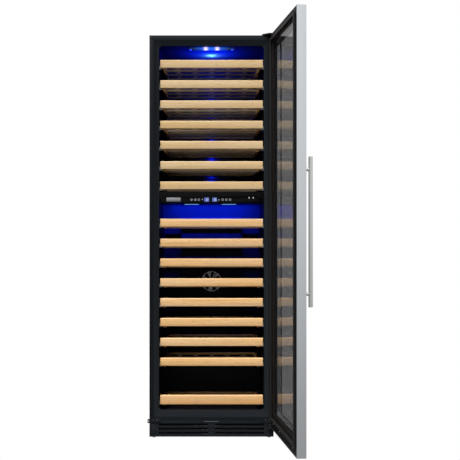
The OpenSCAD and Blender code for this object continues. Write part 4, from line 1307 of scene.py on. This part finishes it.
class COOLER_OT_lamps(bpy.types.Operator):
    """Makes the interior lamps and lights the two zones blue"""

    bl_idname = "cooler.lamps"
    bl_label = "Lamps"

    def execute(self, context):
        f = finishes()
        power = context.scene.cooler_view.zone_light
        bm = bmesh.new()
        for low, high in sorted(parts_of("interior_lamps"), key=lambda b: -b[1].z):
            w = high.x - low.x
            wide = w > 0.1
            base = low.z + (0.0026 if wide else 0.0016)
            rounded_box(bm, (low.x, low.y, base), high, 0.0016, 3, slot=1 if wide else 0)
            rounded_box(bm, (low.x + 0.003, low.y - 0.0001, base - 0.0008),
                        (high.x - 0.003, high.y - 0.003, base + 0.0004), 0.0004, 1, slot=1 if wide else 4)
            if wide:
                for x, slot in ((-0.1, 3), (-LENS_X, 2), (LENS_X, 2), (0.1, 3)):
                    dome = [(0.0055, 0), *((a, b * 0.4) for a, b in arc(0, 0, 0.0052, 8, 82, 5)), (0, 0.0021)]
                    turned(bm, dome, (x, (low.y + high.y) / 2, base - 0.0006), (0, 0, -1), 24, slot)
            middle = (low + high) / 2
            self.glow("lamp_glow", (middle.x, middle.y, low.z - 0.002), (w * 0.9, 0.02), (0, 0, -1), power)
        ob = from_bmesh("interior_lamp_bars", bm, f["liner"], f["lamp"], f["spot"], f["dim"], f["strip"])
        put(ob, "cabinet", "lamp_white", "interior_lamps")
        self.walls(power)
        return {"FINISHED"}

    def walls(self, power):
        """Extra light that falls on the dark liners and ducts alone."""
        dark = bpy.data.collections.new("dark_walls")
        for name in ("upper_liner", "lower_liner", "air_duct_housings"):
            dark.objects.link(bpy.data.objects.get(name) or frame["nodes"][name])
        duct_low, duct_high = max(parts_of("air_ducts"), key=lambda b: b[1].z)
        ceiling = max(b[1].z for b in parts_of("interior_lamps"))
        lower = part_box("control_panel")[0].z
        y_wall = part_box("air_ducts")[0].y
        deep, pale = (0.0, 0.012, 1.0), (0.22, 0.75, 1.0)
        up, back = (0, 0, 1), (0, 1, -0.25)
        lights = (
            ("ceiling_glow", (0, -0.10, ceiling - 0.075), (0.16, 0.20), up, power * 85, deep),
            ("ceiling_spot", (0, -0.045, ceiling - 0.022), (0.016, 0.05), up, power * 12, pale),
            ("duct_column", (0, duct_low.y - 0.012, (duct_low.z + duct_high.z) / 2),
             (0.012, duct_high.z - duct_low.z), (0, 1, 0), power * 20, deep),
            ("upper_wall", (0, duct_low.y - 0.16, ceiling - 0.05), (0.2, 0.03), back, power * 20, deep),
            ("lower_wall", (0, y_wall - 0.10, lower - 0.016), (0.44, 0.02), back, power * 75, (0, 0.02, 1)),
        )
        for light in lights:
            self.glow(*light).light_linking.receiver_collection = dark

    def glow(self, name, place, size, way, power, colour=(0.004, 0.03, 1.0)):
        """An area light that faces a given way."""
        light = bpy.data.lights.new(name, "AREA")
        light.shape = "RECTANGLE"
        light.size, light.size_y = size
        light.energy, light.color = power, colour
        ob = aimed(light, place, way)
        ob.visible_camera = ob.visible_glossy = False
        return ob


class COOLER_OT_cooling(bpy.types.Operator):
    """Makes the fans, cooling plates, compressor and the parts round them"""

    bl_idname = "cooler.cooling"
    bl_label = "Cooling"

    def execute(self, context):
        f, s = finishes(), context.scene.cooler_sizes
        for node in FANS:
            self.fan(node, f)
        painted("evaporators", f["aluminium"])
        painted("condenser", f["coil"])
        painted("compressor", f["compressor"])
        dressed("drip_tray", "drip_tray_moulding", s.sheet_edge, f["dark"], "liner_black")
        dressed("power_inlet", "mains_inlet", s.sheet_edge * 0.6, f["dark"], "grille_black")
        return {"FINISHED"}

    def fan(self, node, f):
        """A hub with swept, twisted blades."""
        joint = next(j for j in frame["joints"] if j["child"] == node)
        centre = Vector(joint["pos_m"])
        low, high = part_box(node)
        radius = max(high.x - centre.x, high.z - centre.z) - 0.0004
        blades, deep, shaft = 7, 0.012, 0.002
        hub, y0 = 0.32 * radius, high.y - deep
        cap = [(shaft, low.y - y0), (shaft, 0), (hub - 0.002, 0), (hub, 0.002), (hub, deep)]
        cap += [(hub - 0.001, deep), (hub - 0.002, 0.010), (0, 0.010)]
        bm = bmesh.new()
        turned(bm, cap, (centre.x, y0, centre.z), (0, 1, 0), 36)
        body = from_bmesh(f"{node}_hub", bm, f["dark"])
        bm = bmesh.new()
        stations, chord = 7, 6
        grid = []
        for side in (0.0005, -0.0005):
            sheet = []
            for i in range(stations):
                share = i / (stations - 1)
                r = hub - 0.001 + (radius - hub) * share
                twist = math.radians(48 - 20 * share)
                sweep = math.radians(10 * share)
                wide = 0.015 * (0.8 + 0.5 * share)
                line = []
                for j in range(chord):
                    across = (j / (chord - 1) - 0.5) * wide
                    camber = 0.0012 * (1 - (2 * j / (chord - 1) - 1) ** 2)
                    tangent = across * math.cos(twist)
                    axial = across * math.sin(twist) + camber + side
                    angle = sweep + tangent / r
                    depth = max(0.0003, min(deep - 0.0003, deep / 2 + axial))
                    line.append(bm.verts.new((r * math.sin(angle), y0 + depth, r * math.cos(angle))))
                sheet.append(line)
            grid.append(sheet)
        self.skin(bm, grid, stations, chord)
        blade = from_bmesh(f"{node}_blades", bm, f["dark"], crease=60)
        place = Vector((centre.x, 0, centre.z))
        blade = grown(blade, "ring", Count=blades, Centre=place, Material=f["dark"])
        put(joined(f"{node}_wheel", body, blade), node, "fan_plastic", node)

    def skin(self, bm, grid, stations, chord):
        """Closes the two sheets of a blade into one thin solid."""
        front, back = grid
        for i in range(stations - 1):
            for j in range(chord - 1):
                bm.faces.new((front[i][j], front[i][j + 1], front[i + 1][j + 1], front[i + 1][j]))
                bm.faces.new((back[i][j], back[i + 1][j], back[i + 1][j + 1], back[i][j + 1]))
        edge = [(i, 0) for i in range(stations)] + [(stations - 1, j) for j in range(1, chord)]
        edge += [(i, chord - 1) for i in range(stations - 2, -1, -1)]
        edge += [(0, j) for j in range(chord - 2, 0, -1)]
        for (a, b), (c, d) in zip(edge, edge[1:] + edge[:1]):
            bm.faces.new((front[a][b], front[c][d], back[c][d], back[a][b]))


class COOLER_OT_feet(bpy.types.Operator):
    """Makes the levelling feet with their threads"""

    bl_idname = "cooler.feet"
    bl_label = "Feet"

    def execute(self, context):
        f = finishes()
        for node in FEET:
            low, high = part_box(node)
            x, y = (low.x + high.x) / 2, (low.y + high.y) / 2
            r, pad, stem = (high.x - low.x) / 2, 0.006, 0.005
            bm = bmesh.new()
            foot = [(0, 0), (r - 0.0012, 0), (r, 0.0012), (r, pad * 0.55), (r - 0.0025, pad - 0.0004)]
            foot += [(stem + 0.001, pad), (stem * 0.8, pad), (0, pad)]
            turned(bm, foot, (x, y, low.z), (0, 0, 1), 36)
            pitch, turns = 0.0015, 26
            thread = [(0, pad - 0.001)]
            for k in range(turns):
                z = pad + k * pitch
                thread += [(stem - 0.0009, z), (stem, z + pitch / 2)]
            thread += [(stem - 0.0012, pad + turns * pitch), (0, pad + turns * pitch)]
            turned(bm, thread, (x, y, low.z), (0, 0, 1), 24, slot=1)
            ob = from_bmesh(f"{node}_levelling", bm, f["foot"], f["zinc"], crease=25)
            put(ob, node, "foot_black", node)
        return {"FINISHED"}


class COOLER_PT_panel(bpy.types.Panel):
    """Lists the wine cooler's operators"""

    bl_label = "Wine Cooler"
    bl_idname = "COOLER_PT_panel"
    bl_space_type = "VIEW_3D"
    bl_region_type = "UI"
    bl_category = "Wine Cooler"

    def draw(self, context):
        for step in STEPS:
            self.layout.operator(step.bl_idname)
        for group in (context.scene.cooler_sizes, context.scene.cooler_colours, context.scene.cooler_view):
            box = self.layout.box()
            for name in group.bl_rna.properties.keys():
                if name not in ("rna_type", "name"):
                    box.prop(group, name)


STEPS = (COOLER_OT_stage, COOLER_OT_case, COOLER_OT_hinges, COOLER_OT_door, COOLER_OT_shelves,
         COOLER_OT_controls, COOLER_OT_lamps, COOLER_OT_cooling, COOLER_OT_feet)
GROUPS = {"cooler_sizes": CoolerSizes, "cooler_colours": CoolerColours, "cooler_view": CoolerView}


def register():
    for group in (*GROUPS.values(), *STEPS, COOLER_PT_panel):
        bpy.utils.register_class(group)
    for name, group in GROUPS.items():
        setattr(bpy.types.Scene, name, PointerProperty(type=group))


def unregister():
    for name in GROUPS:
        delattr(bpy.types.Scene, name)
    for group in reversed((*GROUPS.values(), *STEPS, COOLER_PT_panel)):
        bpy.utils.unregister_class(group)


def main():
    register()
    for step in STEPS:
        group, name = step.bl_idname.split(".")
        getattr(getattr(bpy.ops, group), name)()


if __name__ == "__main__":
    main()
